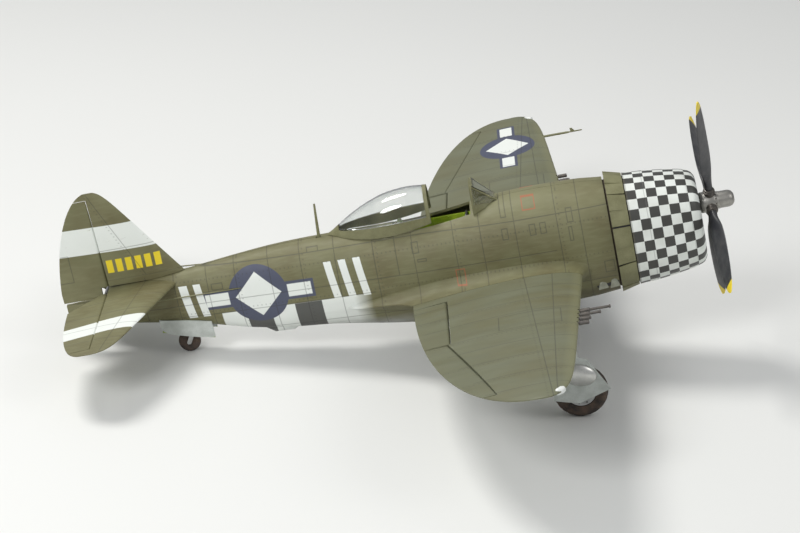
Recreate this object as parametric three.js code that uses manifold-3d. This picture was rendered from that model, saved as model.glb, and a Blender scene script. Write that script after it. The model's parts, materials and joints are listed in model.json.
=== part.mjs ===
// A micro electric scale model of a radial-engined warbird, parked on its wheels with the canopy slid back.
// The model is 1/32 of the full-size aeroplane. Shapes are given in full-size metres in the aeroplane's own
// frame: x forward with the propeller plane at 0, y to port, z up from the thrust line. Every helper turns
// them into model millimetres, and the finished model is pitched nose-up until its three wheels touch z = 0.
import * as THREE from 'three';
import { mergeVertices } from 'three/addons/utils/BufferGeometryUtils.js';
import Module from 'manifold-3d';

const wasm = await Module();
wasm.setup();

// ---------------------------------------------------------------- driving dimensions (full-size metres)
const SCALE_MM = 1000 / 32; // model millimetres for one full-size metre
const mm = (length) => length / SCALE_MM; // a model length written in millimetres
const GAP = mm(0.3); // clearance between neighbouring pieces
const SKIN = mm(1.2); // wall of the fuselage shells and the cowl

const SEMI_SPAN = 6.22;
const WING_ROOT_Y = 1.02; // where the wing panel meets the root fairing
const WING_TIP_X = -3.03;
const TAIL_SEMI_SPAN = 2.6;
const TAIL_Z = 0.3;
const TAIL_TIP_X = -9.97;
const FIN_TOP_Z = 2.03;
const RUDDER_HINGE_X = -9.89;
const ELEVATOR_HINGE_X = -9.9;
const HINGE_SLIT = mm(0.7); // side clearance at the ends of a control surface
const BLADE_TIP_RADIUS = 2.12;
const BLADE_X = 0.06; // the blades' centre line, ahead of the propeller plane
const PROP_TILT = -0.384; // turn of blade 1 from straight up, in radians

const MAIN_WHEEL = { x: -2.5, y: 2.34, z: -1.84, radius: 0.43, width: 0.2 };
const TAIL_WHEEL = { x: -8.75, y: 0, z: -0.81, radius: 0.185, width: 0.1 };
const CANOPY_FRONT_X = -4.41;
const WINDSCREEN_REAR_X = -3.72;

// x, top z, bottom z, half width of the fuselage
const FUSELAGE_STATIONS = [
  [-1.6, 0.69, -1.16, 0.72], [-2.1, 0.74, -1.21, 0.73], [-3.2, 0.74, -1.22, 0.72],
  [-4.4, 0.6, -1.18, 0.66], [-5.15, 0.58, -1.1, 0.6], [-6.3, 0.59, -0.92, 0.5],
  [-7.0, 0.58, -0.85, 0.43], [-7.66, 0.53, -0.74, 0.36], [-8.55, 0.44, -0.5, 0.27],
  [-9.2, 0.4, -0.38, 0.2], [-9.9, 0.28, -0.25, 0.12], [-10.6, 0.22, 0.02, 0.04],
];
// the same four values along the outside of the cowl
const COWL_STATIONS = [
  [-0.13, 0.5, -0.93, 0.56], [-0.2, 0.55, -0.98, 0.62], [-0.4, 0.61, -1.04, 0.67],
  [-0.9, 0.68, -1.12, 0.72], [-1.27, 0.71, -1.15, 0.74], [-1.57, 0.76, -1.2, 0.79],
];

// ---------------------------------------------------------------- materials
const look = (color, roughness, metalness = 0) => ({ color, roughness, metalness });
const OLIVE = look(0x5a5440, 0.72);
const WING_OLIVE = look(0x646254, 0.7);
const CHECKERED = look(0x9a9b96, 0.55);
const WHITE_METAL = look(0xb9bbb4, 0.4, 0.5);
const POLISHED = look(0x8d8a80, 0.3, 0.85);
const STEEL = look(0x9a9a98, 0.35, 0.9);
const BLADE_BLACK = look(0x24262b, 0.5);
const DARK_METAL = look(0x3d3c3a, 0.45, 0.6);
const CHROMATE = look(0x8aa31f, 0.6);
const RUBBER = look(0x3f352e, 0.9);
const GLASS = look(0xcfd6d4, 0.08);
const ARMOUR_WHITE = look(0xc8c9c2, 0.45);
const DOOR_GREY = look(0xb4b7b0, 0.6);
const PLYWOOD = look(0xb08a57, 0.75);
const CARBON = look(0x1f2022, 0.4);
const BATTERY_WRAP = look(0x2f4f8f, 0.4);
const SERVO_PLASTIC = look(0x2a2b30, 0.5);
const BOARD_GREEN = look(0x1f6a3c, 0.5);
const NYLON = look(0xe6e6e0, 0.5);
const SEAT_OLIVE = look(0x4c5136, 0.7);

// ---------------------------------------------------------------- solid helpers
function solid(geometry) {
  geometry.deleteAttribute('normal');
  geometry.deleteAttribute('uv');
  const welded = mergeVertices(geometry, 1e-5);
  const position = welded.getAttribute('position');
  const triVerts = Uint32Array.from(welded.index.array);
  if (signedVolume(position, triVerts) < 0) {
    for (let i = 0; i < triVerts.length; i += 3) {
      const first = triVerts[i];
      triVerts[i] = triVerts[i + 1];
      triVerts[i + 1] = first;
    }
  }
  const vertProperties = Float32Array.from(position.array);
  return new wasm.Manifold(new wasm.Mesh({ numProp: 3, vertProperties, triVerts }));
}

function signedVolume(position, triangles) {
  const a = new THREE.Vector3();
  const b = new THREE.Vector3();
  const c = new THREE.Vector3();
  let six = 0;
  for (let i = 0; i < triangles.length; i += 3) {
    a.fromBufferAttribute(position, triangles[i]);
    b.fromBufferAttribute(position, triangles[i + 1]);
    c.fromBufferAttribute(position, triangles[i + 2]);
    six += a.dot(b.cross(c));
  }
  return six;
}

// A closed body through rings of [x, y, z] points; a looped one joins its last ring to its first.
function loft(rings, looped = false) {
  const around = rings[0].length;
  const positions = rings.flat().flatMap((point) => point.map((value) => value * SCALE_MM));
  const index = [];
  const spans = looped ? rings.length : rings.length - 1;
  for (let i = 0; i < spans; i++) {
    const here = i * around;
    const next = ((i + 1) % rings.length) * around;
    for (let j = 0; j < around; j++) {
      const k = (j + 1) % around;
      index.push(here + j, here + k, next + k, here + j, next + k, next + j);
    }
  }
  if (!looped) {
    for (const [start, turn] of [[0, 1], [(rings.length - 1) * around, 0]]) {
      const centre = positions.length / 3;
      for (let axis = 0; axis < 3; axis++) {
        let sum = 0;
        for (let j = 0; j < around; j++) sum += positions[(start + j) * 3 + axis];
        positions.push(sum / around);
      }
      for (let j = 0; j < around; j++) {
        const k = (j + 1) % around;
        index.push(centre, start + (turn ? k : j), start + (turn ? j : k));
      }
    }
  }
  const geometry = new THREE.BufferGeometry();
  geometry.setAttribute('position', new THREE.Float32BufferAttribute(positions, 3));
  geometry.setIndex(index);
  return solid(geometry);
}

function box(x0, x1, y0, y1, z0, z1) {
  const geometry = new THREE.BoxGeometry(Math.abs(x1 - x0), Math.abs(y1 - y0), Math.abs(z1 - z0));
  geometry.translate((x0 + x1) / 2, (y0 + y1) / 2, (z0 + z1) / 2);
  geometry.scale(SCALE_MM, SCALE_MM, SCALE_MM);
  return solid(geometry);
}

// A round bar from one point to another, which may taper.
function rod(from, to, radius, endRadius = radius, segments = 12) {
  const start = new THREE.Vector3(...from);
  const run = new THREE.Vector3(...to).sub(start);
  const geometry = new THREE.CylinderGeometry(endRadius, radius, run.length(), segments);
  geometry.translate(0, run.length() / 2, 0);
  geometry.applyQuaternion(new THREE.Quaternion().setFromUnitVectors(
    new THREE.Vector3(0, 1, 0), run.normalize()));
  geometry.translate(start.x, start.y, start.z);
  geometry.scale(SCALE_MM, SCALE_MM, SCALE_MM);
  return solid(geometry);
}

// A flat outline extruded along the third axis: 'z' takes [x, y] points, 'y' takes [x, z] points.
function prism(outline, along, from, to) {
  const at = (u, v, w) => (along === 'z' ? [u, v, w] : [u, w, v]);
  const shape = new THREE.Shape(outline.map(([u, v]) => new THREE.Vector2(u, v)));
  const geometry = new THREE.ExtrudeGeometry(shape, { depth: to - from, bevelEnabled: false });
  const position = geometry.getAttribute('position');
  for (let i = 0; i < position.count; i++) {
    position.setXYZ(i, ...at(position.getX(i), position.getY(i), position.getZ(i) + from));
  }
  geometry.scale(SCALE_MM, SCALE_MM, SCALE_MM);
  return solid(geometry);
}

// A turned body: the profile holds [radius, distance] points and the axis runs from `centre` along 'x' or 'y'.
function turned(profile, centre, axis, segments = 20) {
  const points = profile.map(([radius, distance]) => new THREE.Vector2(radius, distance));
  const geometry = new THREE.LatheGeometry(points, segments);
  if (axis === 'x') geometry.rotateZ(-Math.PI / 2);
  geometry.translate(...centre);
  geometry.scale(SCALE_MM, SCALE_MM, SCALE_MM);
  return solid(geometry);
}

const join = (...solids) => solids.reduce((sum, next) => sum.add(next));
const cut = (body, ...tools) => tools.reduce((rest, tool) => rest.subtract(tool), body);
const both = (make) => join(make(1), make(-1));

// ---------------------------------------------------------------- scene graph
const model = new THREE.Group();
const aeroplane = new THREE.Group(); // level, in its own frame
model.add(aeroplane);

function piece(name, body, surface) {
  const data = body.getMesh();
  const geometry = new THREE.BufferGeometry();
  geometry.setAttribute('position', new THREE.BufferAttribute(Float32Array.from(data.vertProperties), 3));
  geometry.setIndex(Array.from(data.triVerts));
  geometry.computeVertexNormals();
  const mesh = new THREE.Mesh(geometry, new THREE.MeshStandardMaterial(surface));
  mesh.name = name;
  aeroplane.add(mesh);
}

// ---------------------------------------------------------------- shared shapes
const power = (value, exponent) => Math.sign(value) * Math.abs(value) ** exponent;

// An oval across the fuselage, squarer than an ellipse.
function ovalRing(x, top, bottom, half, grow = 0, count = 32, fullness = 2.4) {
  const ring = [];
  const middle = (top + bottom) / 2;
  const rise = (top - bottom) / 2 + grow;
  for (let i = 0; i < count; i++) {
    const turn = (2 * Math.PI * i) / count;
    ring.push([x, (half + grow) * power(Math.cos(turn), 2 / fullness),
      middle + rise * power(Math.sin(turn), 2 / fullness)]);
  }
  return ring;
}

// The four station values at any x, by straight lines between the stations.
function stationAt(stations, x) {
  const next = Math.max(1, stations.findIndex(([sx]) => sx <= x));
  const [a, b] = [stations[next - 1], stations[next]];
  const share = (x - a[0]) / (b[0] - a[0]);
  return a.map((value, i) => value + (b[i] - value) * share);
}

function fuselageBody(grow = 0, shift = 0) {
  return loft(FUSELAGE_STATIONS.map(([x, top, bottom, half]) => (
    ovalRing(x + shift, top, bottom, half, Math.max(grow, 0.02 - half)))));
}

const superCurve = (share, exponent, root = exponent) => (
  Math.max(1e-3, 1 - Math.min(1, share) ** exponent) ** (1 / root));

// Wing plan and height at a distance y from the centre line.
const wingLead = (y) => WING_TIP_X + (0.93 - 0.07 * y) * superCurve(y / SEMI_SPAN, 16, 3);
const wingTrail = (y) => WING_TIP_X - 1.9 * superCurve(y / SEMI_SPAN, 2.2);
const wingZ = (y) => -0.57 + 0.08 * y;
const wingRatio = (y) => 0.115 - 0.004 * y;
const tailLead = (y) => TAIL_TIP_X + (1.32 - 0.35 * y) * superCurve(y / TAIL_SEMI_SPAN, 16, 3);
const tailTrail = (y) => TAIL_TIP_X - 0.5 * superCurve(y / TAIL_SEMI_SPAN, 2.6);
const tailRatio = (y) => 0.1 - 0.012 * y;
const finLead = (z) => -9.82 + (1.25 - 0.678 * (z - 0.47)) * superCurve(z / FIN_TOP_Z, 24, 3);
const finTrail = (z) => -9.85 - 0.81 * superCurve(z / FIN_TOP_Z, 1.8);
const finRatio = (z) => 0.085 - 0.012 * z;

// Half the thickness of an aerofoil at a share of its chord.
function foilHalf(share, chord, ratio) {
  const s = Math.min(1, Math.max(0, share));
  const bulge = 0.2969 * Math.sqrt(s) - 0.126 * s - 0.3516 * s ** 2 + 0.2843 * s ** 3 - 0.1015 * s ** 4;
  return Math.max(mm(0.2), 5 * ratio * chord * bulge);
}

// [x, height] points round an aerofoil, from the trailing edge over the top to the nose and back below.
function foilOutline(lead, trail, ratio, steps = 9) {
  const chord = lead - trail;
  const upper = [];
  for (let i = 0; i <= steps; i++) {
    const share = (1 + Math.cos((Math.PI * i) / steps)) / 2;
    const thin = i === steps ? 0 : foilHalf(share, chord, ratio);
    upper.push([lead - share * chord, thin]);
  }
  const lower = upper.slice(0, steps).reverse().map(([x, height]) => [x, -height]);
  return [...upper, ...lower];
}

// A hinged surface's section: round about its hinge in front, straight to a thin trailing edge.
function surfaceOutline(hinge, trail, radius) {
  const nose = [];
  for (let i = 0; i <= 6; i++) {
    const turn = Math.PI / 2 - (Math.PI * i) / 6;
    nose.push([hinge + radius * Math.cos(turn), radius * Math.sin(turn)]);
  }
  return [...nose, [trail, -mm(0.25)], [trail, mm(0.25)]];
}

const spread = (from, to, steps) => (
  Array.from({ length: steps + 1 }, (_, i) => from + ((to - from) * i) / steps));

// ---------------------------------------------------------------- hinge lines
const aileronHinge = (y) => -5.37 + 0.3 * y;
const flapHinge = (y) => -4.465 + 0.041 * y;
const AILERON = { inner: 3.37, outer: 5.8, hinge: aileronHinge };
const FLAP = { inner: 1.3, outer: 3.31, hinge: flapHinge };
const ELEVATOR = { inner: 0.24, outer: 2.42, hinge: () => ELEVATOR_HINGE_X };
const RUDDER = { bottom: 0.4, top: 1.9 };
const RUDDER_HEEL = { low: 0.215, front: -9.97 }; // the part of the rudder that reaches down between the elevators

function wingHingeRadius(y, hinge) {
  const chord = wingLead(y) - wingTrail(y);
  return 0.92 * foilHalf((wingLead(y) - hinge) / chord, chord, wingRatio(y));
}

const wingSurfaceRing = (side, hingeAt) => (y) => surfaceOutline(
  hingeAt(y), wingTrail(y), wingHingeRadius(y, hingeAt(y))).map(([x, h]) => [x, side * y, wingZ(y) + h]);

// The plan of the bay a wing surface sits in, open at the trailing edge.
function surfaceBay(side, { inner, outer, hinge }) {
  const front = spread(inner - HINGE_SLIT, outer + HINGE_SLIT, 6).map((y) => (
    [hinge(y) + wingHingeRadius(y, hinge(y)) + GAP, side * y]));
  const points = [...front, [-5.4, side * (outer + HINGE_SLIT)], [-5.4, side * (inner - HINGE_SLIT)]];
  return prism(points, 'z', -1, 0.6);
}

// ---------------------------------------------------------------- fuselage
const SPAR = { x: -3.0, halfX: 0.06, halfZ: 0.075, reach: 2.0 };
const COCKPIT = { front: -3.78, rear: -5.05, half: 0.29, floor: -0.14, rim: 0.46 };
const HATCH = { front: -2.06, rear: -3.6, half: 0.36, flat: -1.185 };
const MAST = { x: -6.29, base: 0.44, tip: 1.16, rake: 0.05 };
const TAIL_LEG = { x: -8.62, radius: 0.04, top: -0.2 };
const ROD_RADIUS = mm(0.5);
const RUDDER_ROD = { from: [-5.98, 0.36, 0.16], to: [-9.74, 0.2, 0.52] };
const ELEVATOR_ROD = { from: [-5.98, -0.36, 0.06], to: [-9.86, -0.3, 0.1] };

function sparBody(grow) {
  const section = (y) => {
    const z = wingZ(Math.abs(y));
    const [dx, dz] = [SPAR.halfX + grow, SPAR.halfZ + grow];
    return [[-dx, -dz], [dx, -dz], [dx, dz], [-dx, dz]].map(([x, h]) => [SPAR.x + x, y, z + h]);
  };
  const reach = SPAR.reach + grow;
  return loft([-reach, 0, reach].map(section));
}

// The fairing that blends the wing into the fuselage side.
function rootFairing(side) {
  const section = (y, lead, trail, tall, z) => (
    foilOutline(lead, trail, wingRatio(WING_ROOT_Y)).map(([x, h]) => [x, side * y, z + h * tall]));
  return loft([
    section(0.3, -1.9, -6.1, 1.9, -0.52),
    section(0.62, -1.95, -5.85, 1.75, -0.52),
    section(0.78, -2.06, -5.25, 1.3, -0.51),
    section(0.9, -2.13, -5.05, 1.08, wingZ(0.9)),
    section(WING_ROOT_Y - GAP, wingLead(WING_ROOT_Y), wingTrail(WING_ROOT_Y), 1, wingZ(WING_ROOT_Y)),
  ]);
}

// The fixed doors either side of the tail wheel.
function tailDoor(side) {
  const section = (x, y, low) => [
    [x, side * y, -0.2], [x, side * (y + mm(0.9)), -0.2],
    [x, side * (y + mm(0.9)), low], [x, side * y, low],
  ];
  return loft([section(-8.28, 0.21, -0.73), section(-8.7, 0.19, -0.64), section(-9.13, 0.13, -0.52)]);
}

// The wedge-shaped exit doors of the oil coolers, low on each side behind the cowl.
const oilDoor = (side) => loft([
  [[-1.66, 0.5], [-1.66, 0.58], [-1.72, 0.52]],
  [[-1.66, 0.42], [-1.66, 0.5], [-1.95, 0.34]],
].map((ring, i) => ring.map(([x, y]) => [x, side * y, i ? -1.08 : -0.78])));

const beltHood = () => loft([[-6.82, 0.02, -0.82], [-6.98, 0.12, -0.92], [-7.3, 0.13, -0.9],
  [-7.52, 0.03, -0.76]].map(([x, half, low]) => ovalRing(x, -0.6, low, half + 0.05, 0, 12, 2)));

function fuselageShell(side) {
  const [first] = FUSELAGE_STATIONS;
  const hollow = FUSELAGE_STATIONS.slice(0, -1).map(([x, top, bottom, half]) => (
    ovalRing(x, top, bottom, half, -SKIN)));
  hollow.unshift(ovalRing(-1.5, first[1], first[2], first[3], -SKIN));
  const outside = join(fuselageBody(), rootFairing(side), tailDoor(side), oilDoor(side), beltHood());
  const shell = cut(outside, loft(hollow));
  const half = box(-11, -1, side * GAP / 2, side * 2, -2, 2);
  return cut(
    shell.intersect(half),
    sparBody(GAP),
    box(COCKPIT.rear - GAP, COCKPIT.front + GAP, -COCKPIT.half - GAP, COCKPIT.half + GAP, -0.3, 1),
    box(HATCH.rear - GAP, HATCH.front + GAP, -HATCH.half - GAP, HATCH.half + GAP, -1.4, -0.9),
    box(-11, -8.62, -0.5, 0.5, TAIL_Z - 0.115, 1),
    rod([MAST.x, 0, MAST.base - GAP], [MAST.x, 0, 1], mm(1.1) + GAP),
    rod([TAIL_LEG.x, 0, -1], [TAIL_LEG.x, 0, 0], TAIL_LEG.radius + GAP),
    rod(RUDDER_ROD.from, RUDDER_ROD.to, ROD_RADIUS + mm(0.6)),
    rod(ELEVATOR_ROD.from, ELEVATOR_ROD.to, ROD_RADIUS + mm(0.6)),
  );
}

function batteryHatch() {
  const bay = box(HATCH.rear, HATCH.front, -HATCH.half, HATCH.half, HATCH.flat, -0.9);
  const inside = FUSELAGE_STATIONS.slice(0, 5).map(([x, top, bottom, half]) => (
    ovalRing(x, top, bottom, half, -SKIN)));
  return cut(fuselageBody(-0.001).intersect(bay), loft(inside));
}

piece('fuselage_left_shell', fuselageShell(1), OLIVE);
piece('fuselage_right_shell', fuselageShell(-1), OLIVE);
piece('battery_hatch', batteryHatch(), OLIVE);

// ---------------------------------------------------------------- cowl and nose
// A ring with the cowl's oval section, from [x, inset] points round its wall.
function cowlWall(profile) {
  return loft(profile.map(([x, inset]) => {
    const [, top, bottom, half] = stationAt(COWL_STATIONS, x);
    return ovalRing(x, top, bottom, half, -inset, 32, 2.15);
  }), true);
}

const cowlRing = () => cowlWall([
  [-1.27, 0], [-0.9, 0], [-0.4, 0], [-0.2, 0], [-0.13, 0.05], [-0.15, 0.11], [-0.26, 0.13],
  [-0.5, 0.12], [-0.9, 0.06], [-1.27, 0.045],
]);
const cowlFlaps = () => cowlWall([[-1.29, 0], [-1.57, 0], [-1.57, 0.035], [-1.29, 0.04]]);
piece('cowl_ring', cowlRing(), CHECKERED);
piece('cowl_flaps', cowlFlaps(), OLIVE);

const MOTOR = { radius: mm(10.5), wall: mm(1.5) };
const SHAFT_RADIUS = mm(1);
const FIREWALL = { front: -1.56, rear: -1.66 };

function firewall() {
  const [, top, bottom, half] = FUSELAGE_STATIONS[0];
  const plate = loft([FIREWALL.front, FIREWALL.rear].map((x) => (
    ovalRing(x, top, bottom, half, -SKIN - GAP))));
  const wires = rod([-1.5, 0.3, -0.55], [-1.8, 0.3, -0.55], mm(2));
  return cut(plate, wires);
}

// The stator stands on the firewall; the bell turns round it with the shaft.
const motorStator = () => turned([
  [0, 0], [0.2, 0], [0.2, 0.06], [0.24, 0.06], [0.24, 0.36], [0.05, 0.36], [0.05, 0.4], [0, 0.4],
], [FIREWALL.front + GAP, 0, 0], 'x');
const motorBell = () => turned([
  [SHAFT_RADIUS + GAP, 0.42], [0.12, 0.42], [0.16, 0.38], [MOTOR.radius, 0.36], [MOTOR.radius, 0.05],
  [MOTOR.radius - MOTOR.wall, 0.05], [MOTOR.radius - MOTOR.wall, 0.31], [SHAFT_RADIUS + GAP, 0.31],
  [SHAFT_RADIUS + GAP, 0.42]], [FIREWALL.front + 0.1, 0, 0], 'x');

// A moulded dummy of the radial engine: nine cylinders on a drum, with a domed gear case in front.
function dummyEngine() {
  const drum = turned([
    [0.05, 0], [0.27, 0], [0.27, 0.26], [0.22, 0.3], [0.2, 0.42], [0.12, 0.5], [0.05, 0.5], [0.05, 0]],
  [-0.9, 0, 0], 'x', 18);
  const cylinders = spread(0, 8, 8).map((i) => {
    const turn = (2 * Math.PI * i) / 9;
    const at = (radius) => [-0.76, radius * Math.sin(turn), radius * Math.cos(turn)];
    return join(rod(at(0.24), at(0.5), 0.09, 0.085, 8), rod(at(0.48), at(0.56), 0.06, 0.045, 6));
  });
  const bore = rod([-1, 0, 0], [0, 0, 0], SHAFT_RADIUS + GAP);
  return cut(join(drum, ...cylinders), bore);
}

piece('firewall', firewall(), PLYWOOD);
piece('motor_stator', motorStator(), DARK_METAL);
piece('motor_bell', motorBell(), POLISHED);
piece('dummy_engine', dummyEngine(), DARK_METAL);

// ---------------------------------------------------------------- propeller
const HUB_RADIUS = 0.17;
const SOCKET = { reach: 0.27, radius: 0.085, tipRadius: 0.08 };

function propShaft() {
  return rod([-1.12, 0, 0], [-0.2, 0, 0], SHAFT_RADIUS);
}

// Gear-end barrel, blade sockets and the domed pitch cylinder in front of them.
function propHub() {
  const barrel = turned([
    [0, 0], [0.1, 0], [0.13, 0.06], [HUB_RADIUS, 0.1], [HUB_RADIUS, 0.3], [0.15, 0.34], [0.14, 0.4],
    [0.14, 0.53], [0.125, 0.58], [0.08, 0.62], [0, 0.64]], [-0.19, 0, 0], 'x', 20);
  const sockets = spread(0, 3, 3).map((i) => {
    const turn = PROP_TILT + (Math.PI / 2) * i;
    return rod([BLADE_X, 0, 0], [BLADE_X, SOCKET.reach * Math.sin(turn), SOCKET.reach * Math.cos(turn)],
      SOCKET.radius, SOCKET.tipRadius);
  });
  return join(barrel, ...sockets);
}

// One blade, standing up along z: [radius, chord, thickness, pitch in radians].
function blade(index) {
  const sections = [
    [0.285, 0.13, 0.12, 0.9], [0.42, 0.15, 0.1, 0.85], [0.7, 0.27, 0.06, 0.75], [1.1, 0.34, 0.045, 0.6],
    [1.6, 0.32, 0.034, 0.5], [1.93, 0.24, 0.026, 0.44], [2.06, 0.15, 0.022, 0.42],
    [BLADE_TIP_RADIUS, 0.05, 0.018, 0.42],
  ];
  const turn = PROP_TILT + (Math.PI / 2) * index;
  return loft(sections.map(([radius, chord, thick, pitch]) => spread(0, 9, 9).map((i) => {
    const a = (2 * Math.PI * i) / 10;
    const along = (chord / 2) * Math.cos(a);
    const out = (thick / 2) * Math.sin(a);
    const side = along * Math.cos(pitch) - out * Math.sin(pitch);
    const x = BLADE_X + along * Math.sin(pitch) + out * Math.cos(pitch);
    return [x, radius * Math.sin(turn) + side * Math.cos(turn),
      radius * Math.cos(turn) - side * Math.sin(turn)];
  })));
}

piece('prop_shaft', propShaft(), STEEL);
piece('prop_hub', propHub(), POLISHED);
for (let i = 0; i < 4; i++) piece(`blade_${i + 1}`, blade(i), BLADE_BLACK);

// ---------------------------------------------------------------- equipment in the fuselage
const SERVO = { front: -5.55, rear: -6.12, inner: 0.06, outer: 0.31, low: -0.4, high: 0 };
const ARM_REACH = 0.17;

function servoArm(side, z) {
  const [x, y] = [RUDDER_ROD.from[0], side * (RUDDER_ROD.from[1] - ARM_REACH)];
  const boss = rod([x, y, z - mm(0.7)], [x, y, z + mm(0.7)], mm(1.6));
  const arm = box(x - mm(0.8), x + mm(0.8), y, y + side * (ARM_REACH - ROD_RADIUS - GAP), z - mm(0.6),
    z + mm(0.6));
  return join(boss, arm);
}

const servoBox = (side) => box(SERVO.front, SERVO.rear, side * SERVO.inner, side * SERVO.outer,
  SERVO.low, SERVO.high);

piece('battery', box(-3.52, -2.16, -0.3, 0.3, -1.09, -0.7), BATTERY_WRAP);
piece('receiver_board', box(-2.6, -1.95, -0.22, 0.22, -0.3, -0.18), BOARD_GREEN);
piece('rudder_servo', servoBox(1), SERVO_PLASTIC);
piece('elevator_servo', servoBox(-1), SERVO_PLASTIC);
piece('rudder_servo_arm', servoArm(1, RUDDER_ROD.from[2] - 0.1), NYLON);
piece('elevator_servo_arm', servoArm(-1, ELEVATOR_ROD.from[2]), NYLON);
piece('rudder_pushrod', rod(RUDDER_ROD.from, RUDDER_ROD.to, ROD_RADIUS, ROD_RADIUS, 8), STEEL);
piece('elevator_pushrod', rod(ELEVATOR_ROD.from, ELEVATOR_ROD.to, ROD_RADIUS, ROD_RADIUS, 8), STEEL);
piece('wing_joiner', sparBody(0), CARBON);

// ---------------------------------------------------------------- wings
const GUNS = { rack: -2.46, ys: [2.72, 2.9, 3.09, 3.28], muzzles: [-1.81, -1.97, -2.13, -2.25] };
const GUN_RADIUS = 0.027;
const PITOT = { y: 5.12, from: -2.62, tip: -1.77, radius: 0.02 };
const AILERON_SERVO = { front: -3.1, rear: -3.58, inner: 3.86, outer: 4.1, y: 4.15, pivot: -3.48 };
const ARM_POCKET = { front: -3.3, rear: -3.7, inner: 4.09, outer: 4.205, roof: wingZ(4) + 0.045 };
const HORN_DROP = 0.19;
const LEG = { y: 2.5, radius: 0.045, top: -0.42 };

function gunRack(side, grow) {
  const rack = loft([2.66, 3.34].map((y) => [[-0.03, -0.035], [0.03, -0.035], [0.03, 0.035], [-0.03, 0.035]]
    .map(([x, h]) => [GUNS.rack + x + Math.sign(x) * grow, side * (y + (y > 3 ? grow : -grow)),
      wingZ(y) + h + Math.sign(h) * grow])));
  const barrels = GUNS.ys.map((y, i) => rod([GUNS.rack, side * y, wingZ(y)],
    [GUNS.muzzles[i], side * y, wingZ(y)], GUN_RADIUS + grow, GUN_RADIUS + grow, 10));
  return join(rack, ...barrels);
}

const aileronServoBox = (side, grow) => box(AILERON_SERVO.rear - grow, AILERON_SERVO.front + grow,
  side * (AILERON_SERVO.inner - grow), side * (AILERON_SERVO.outer + grow),
  wingZ(4) - 0.085 - (grow ? 0.2 : 0), wingZ(4) + 0.05 + grow);

function wing(side) {
  const stations = [WING_ROOT_Y, 1.8, 2.6, 3.4, 4.2, 4.8, 5.3, 5.65, 5.9, 6.08, 6.18, SEMI_SPAN - 0.005];
  const panel = loft(stations.map((y) => foilOutline(wingLead(y), wingTrail(y), wingRatio(y))
    .map(([x, h]) => [x, side * y, wingZ(y) + h])));
  const tools = [
    surfaceBay(side, AILERON), surfaceBay(side, FLAP), sparBody(GAP), gunRack(side, GAP),
    aileronServoBox(side, GAP),
    box(ARM_POCKET.rear, ARM_POCKET.front, side * ARM_POCKET.inner, side * ARM_POCKET.outer, -1,
      ARM_POCKET.roof),
    rod([-2.55, side * LEG.y, -1], [-2.55, side * LEG.y, LEG.top + GAP], LEG.radius + GAP),
  ];
  if (side > 0) {
    const z = wingZ(PITOT.y);
    tools.push(rod([PITOT.from - GAP, PITOT.y, z], [PITOT.tip, PITOT.y, z], PITOT.radius + GAP));
  }
  return cut(panel, ...tools);
}

function wingSurface(side, surface, steps) {
  return loft(spread(surface.inner, surface.outer, steps).map(wingSurfaceRing(side, surface.hinge)));
}

function aileron(side) {
  const y = AILERON_SERVO.y;
  const [x, z] = [aileronHinge(y) - 0.02, wingZ(y)];
  const horn = prism([[x - 0.06, z], [x + 0.03, z], [x + 0.03, z - HORN_DROP], [x - 0.02, z - HORN_DROP]],
    'y', side > 0 ? y - mm(0.6) : -y - mm(0.6), side > 0 ? y + mm(0.6) : -y + mm(0.6));
  return join(wingSurface(side, AILERON, 6), horn);
}

function aileronArm(side) {
  const y = side * AILERON_SERVO.y;
  const z = wingZ(4) - 0.02;
  const disc = rod([AILERON_SERVO.pivot, y - mm(0.6), z], [AILERON_SERVO.pivot, y + mm(0.6), z], mm(1.5));
  return join(disc, box(AILERON_SERVO.pivot - mm(0.8), AILERON_SERVO.pivot + mm(0.8), y - mm(0.6),
    y + mm(0.6), z - HORN_DROP, z));
}

for (const [name, side] of [['left', 1], ['right', -1]]) {
  piece(`wing_${name}`, wing(side), WING_OLIVE);
  piece(`aileron_${name}`, aileron(side), WING_OLIVE);
  piece(`flap_${name}`, wingSurface(side, FLAP, 3), WING_OLIVE);
  piece(`aileron_servo_${name}`, aileronServoBox(side, 0), SERVO_PLASTIC);
  piece(`aileron_arm_${name}`, aileronArm(side), NYLON);
  piece(`gun_set_${name}`, gunRack(side, 0), DARK_METAL);
}
piece('pitot_tube', rod([PITOT.from, PITOT.y, wingZ(PITOT.y)], [PITOT.tip, PITOT.y, wingZ(PITOT.y)],
  PITOT.radius, PITOT.radius, 10), WING_OLIVE);

// ---------------------------------------------------------------- tail
function tailplane() {
  const ys = [0, 0.6, 1.2, 1.8, 2.2, 2.42, 2.54, TAIL_SEMI_SPAN - 0.005];
  const stations = [...ys.slice(1).reverse().map((y) => -y), ...ys];
  const panel = loft(stations.map((y) => {
    const out = Math.abs(y);
    return foilOutline(tailLead(out), tailTrail(out), tailRatio(out)).map(([x, h]) => [x, y, TAIL_Z + h]);
  }));
  const end = ELEVATOR.outer + HINGE_SLIT;
  const front = spread(-end, end, 12).map((y) => [ELEVATOR_HINGE_X + tailHingeRadius(Math.abs(y)) + GAP, y]);
  return cut(panel, prism([...front, [-11, end], [-11, -end]], 'z', 0, 0.6));
}

function tailHingeRadius(y) {
  const chord = tailLead(y) - tailTrail(y);
  return 0.92 * foilHalf((tailLead(y) - ELEVATOR_HINGE_X) / chord, chord, tailRatio(y));
}

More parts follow.
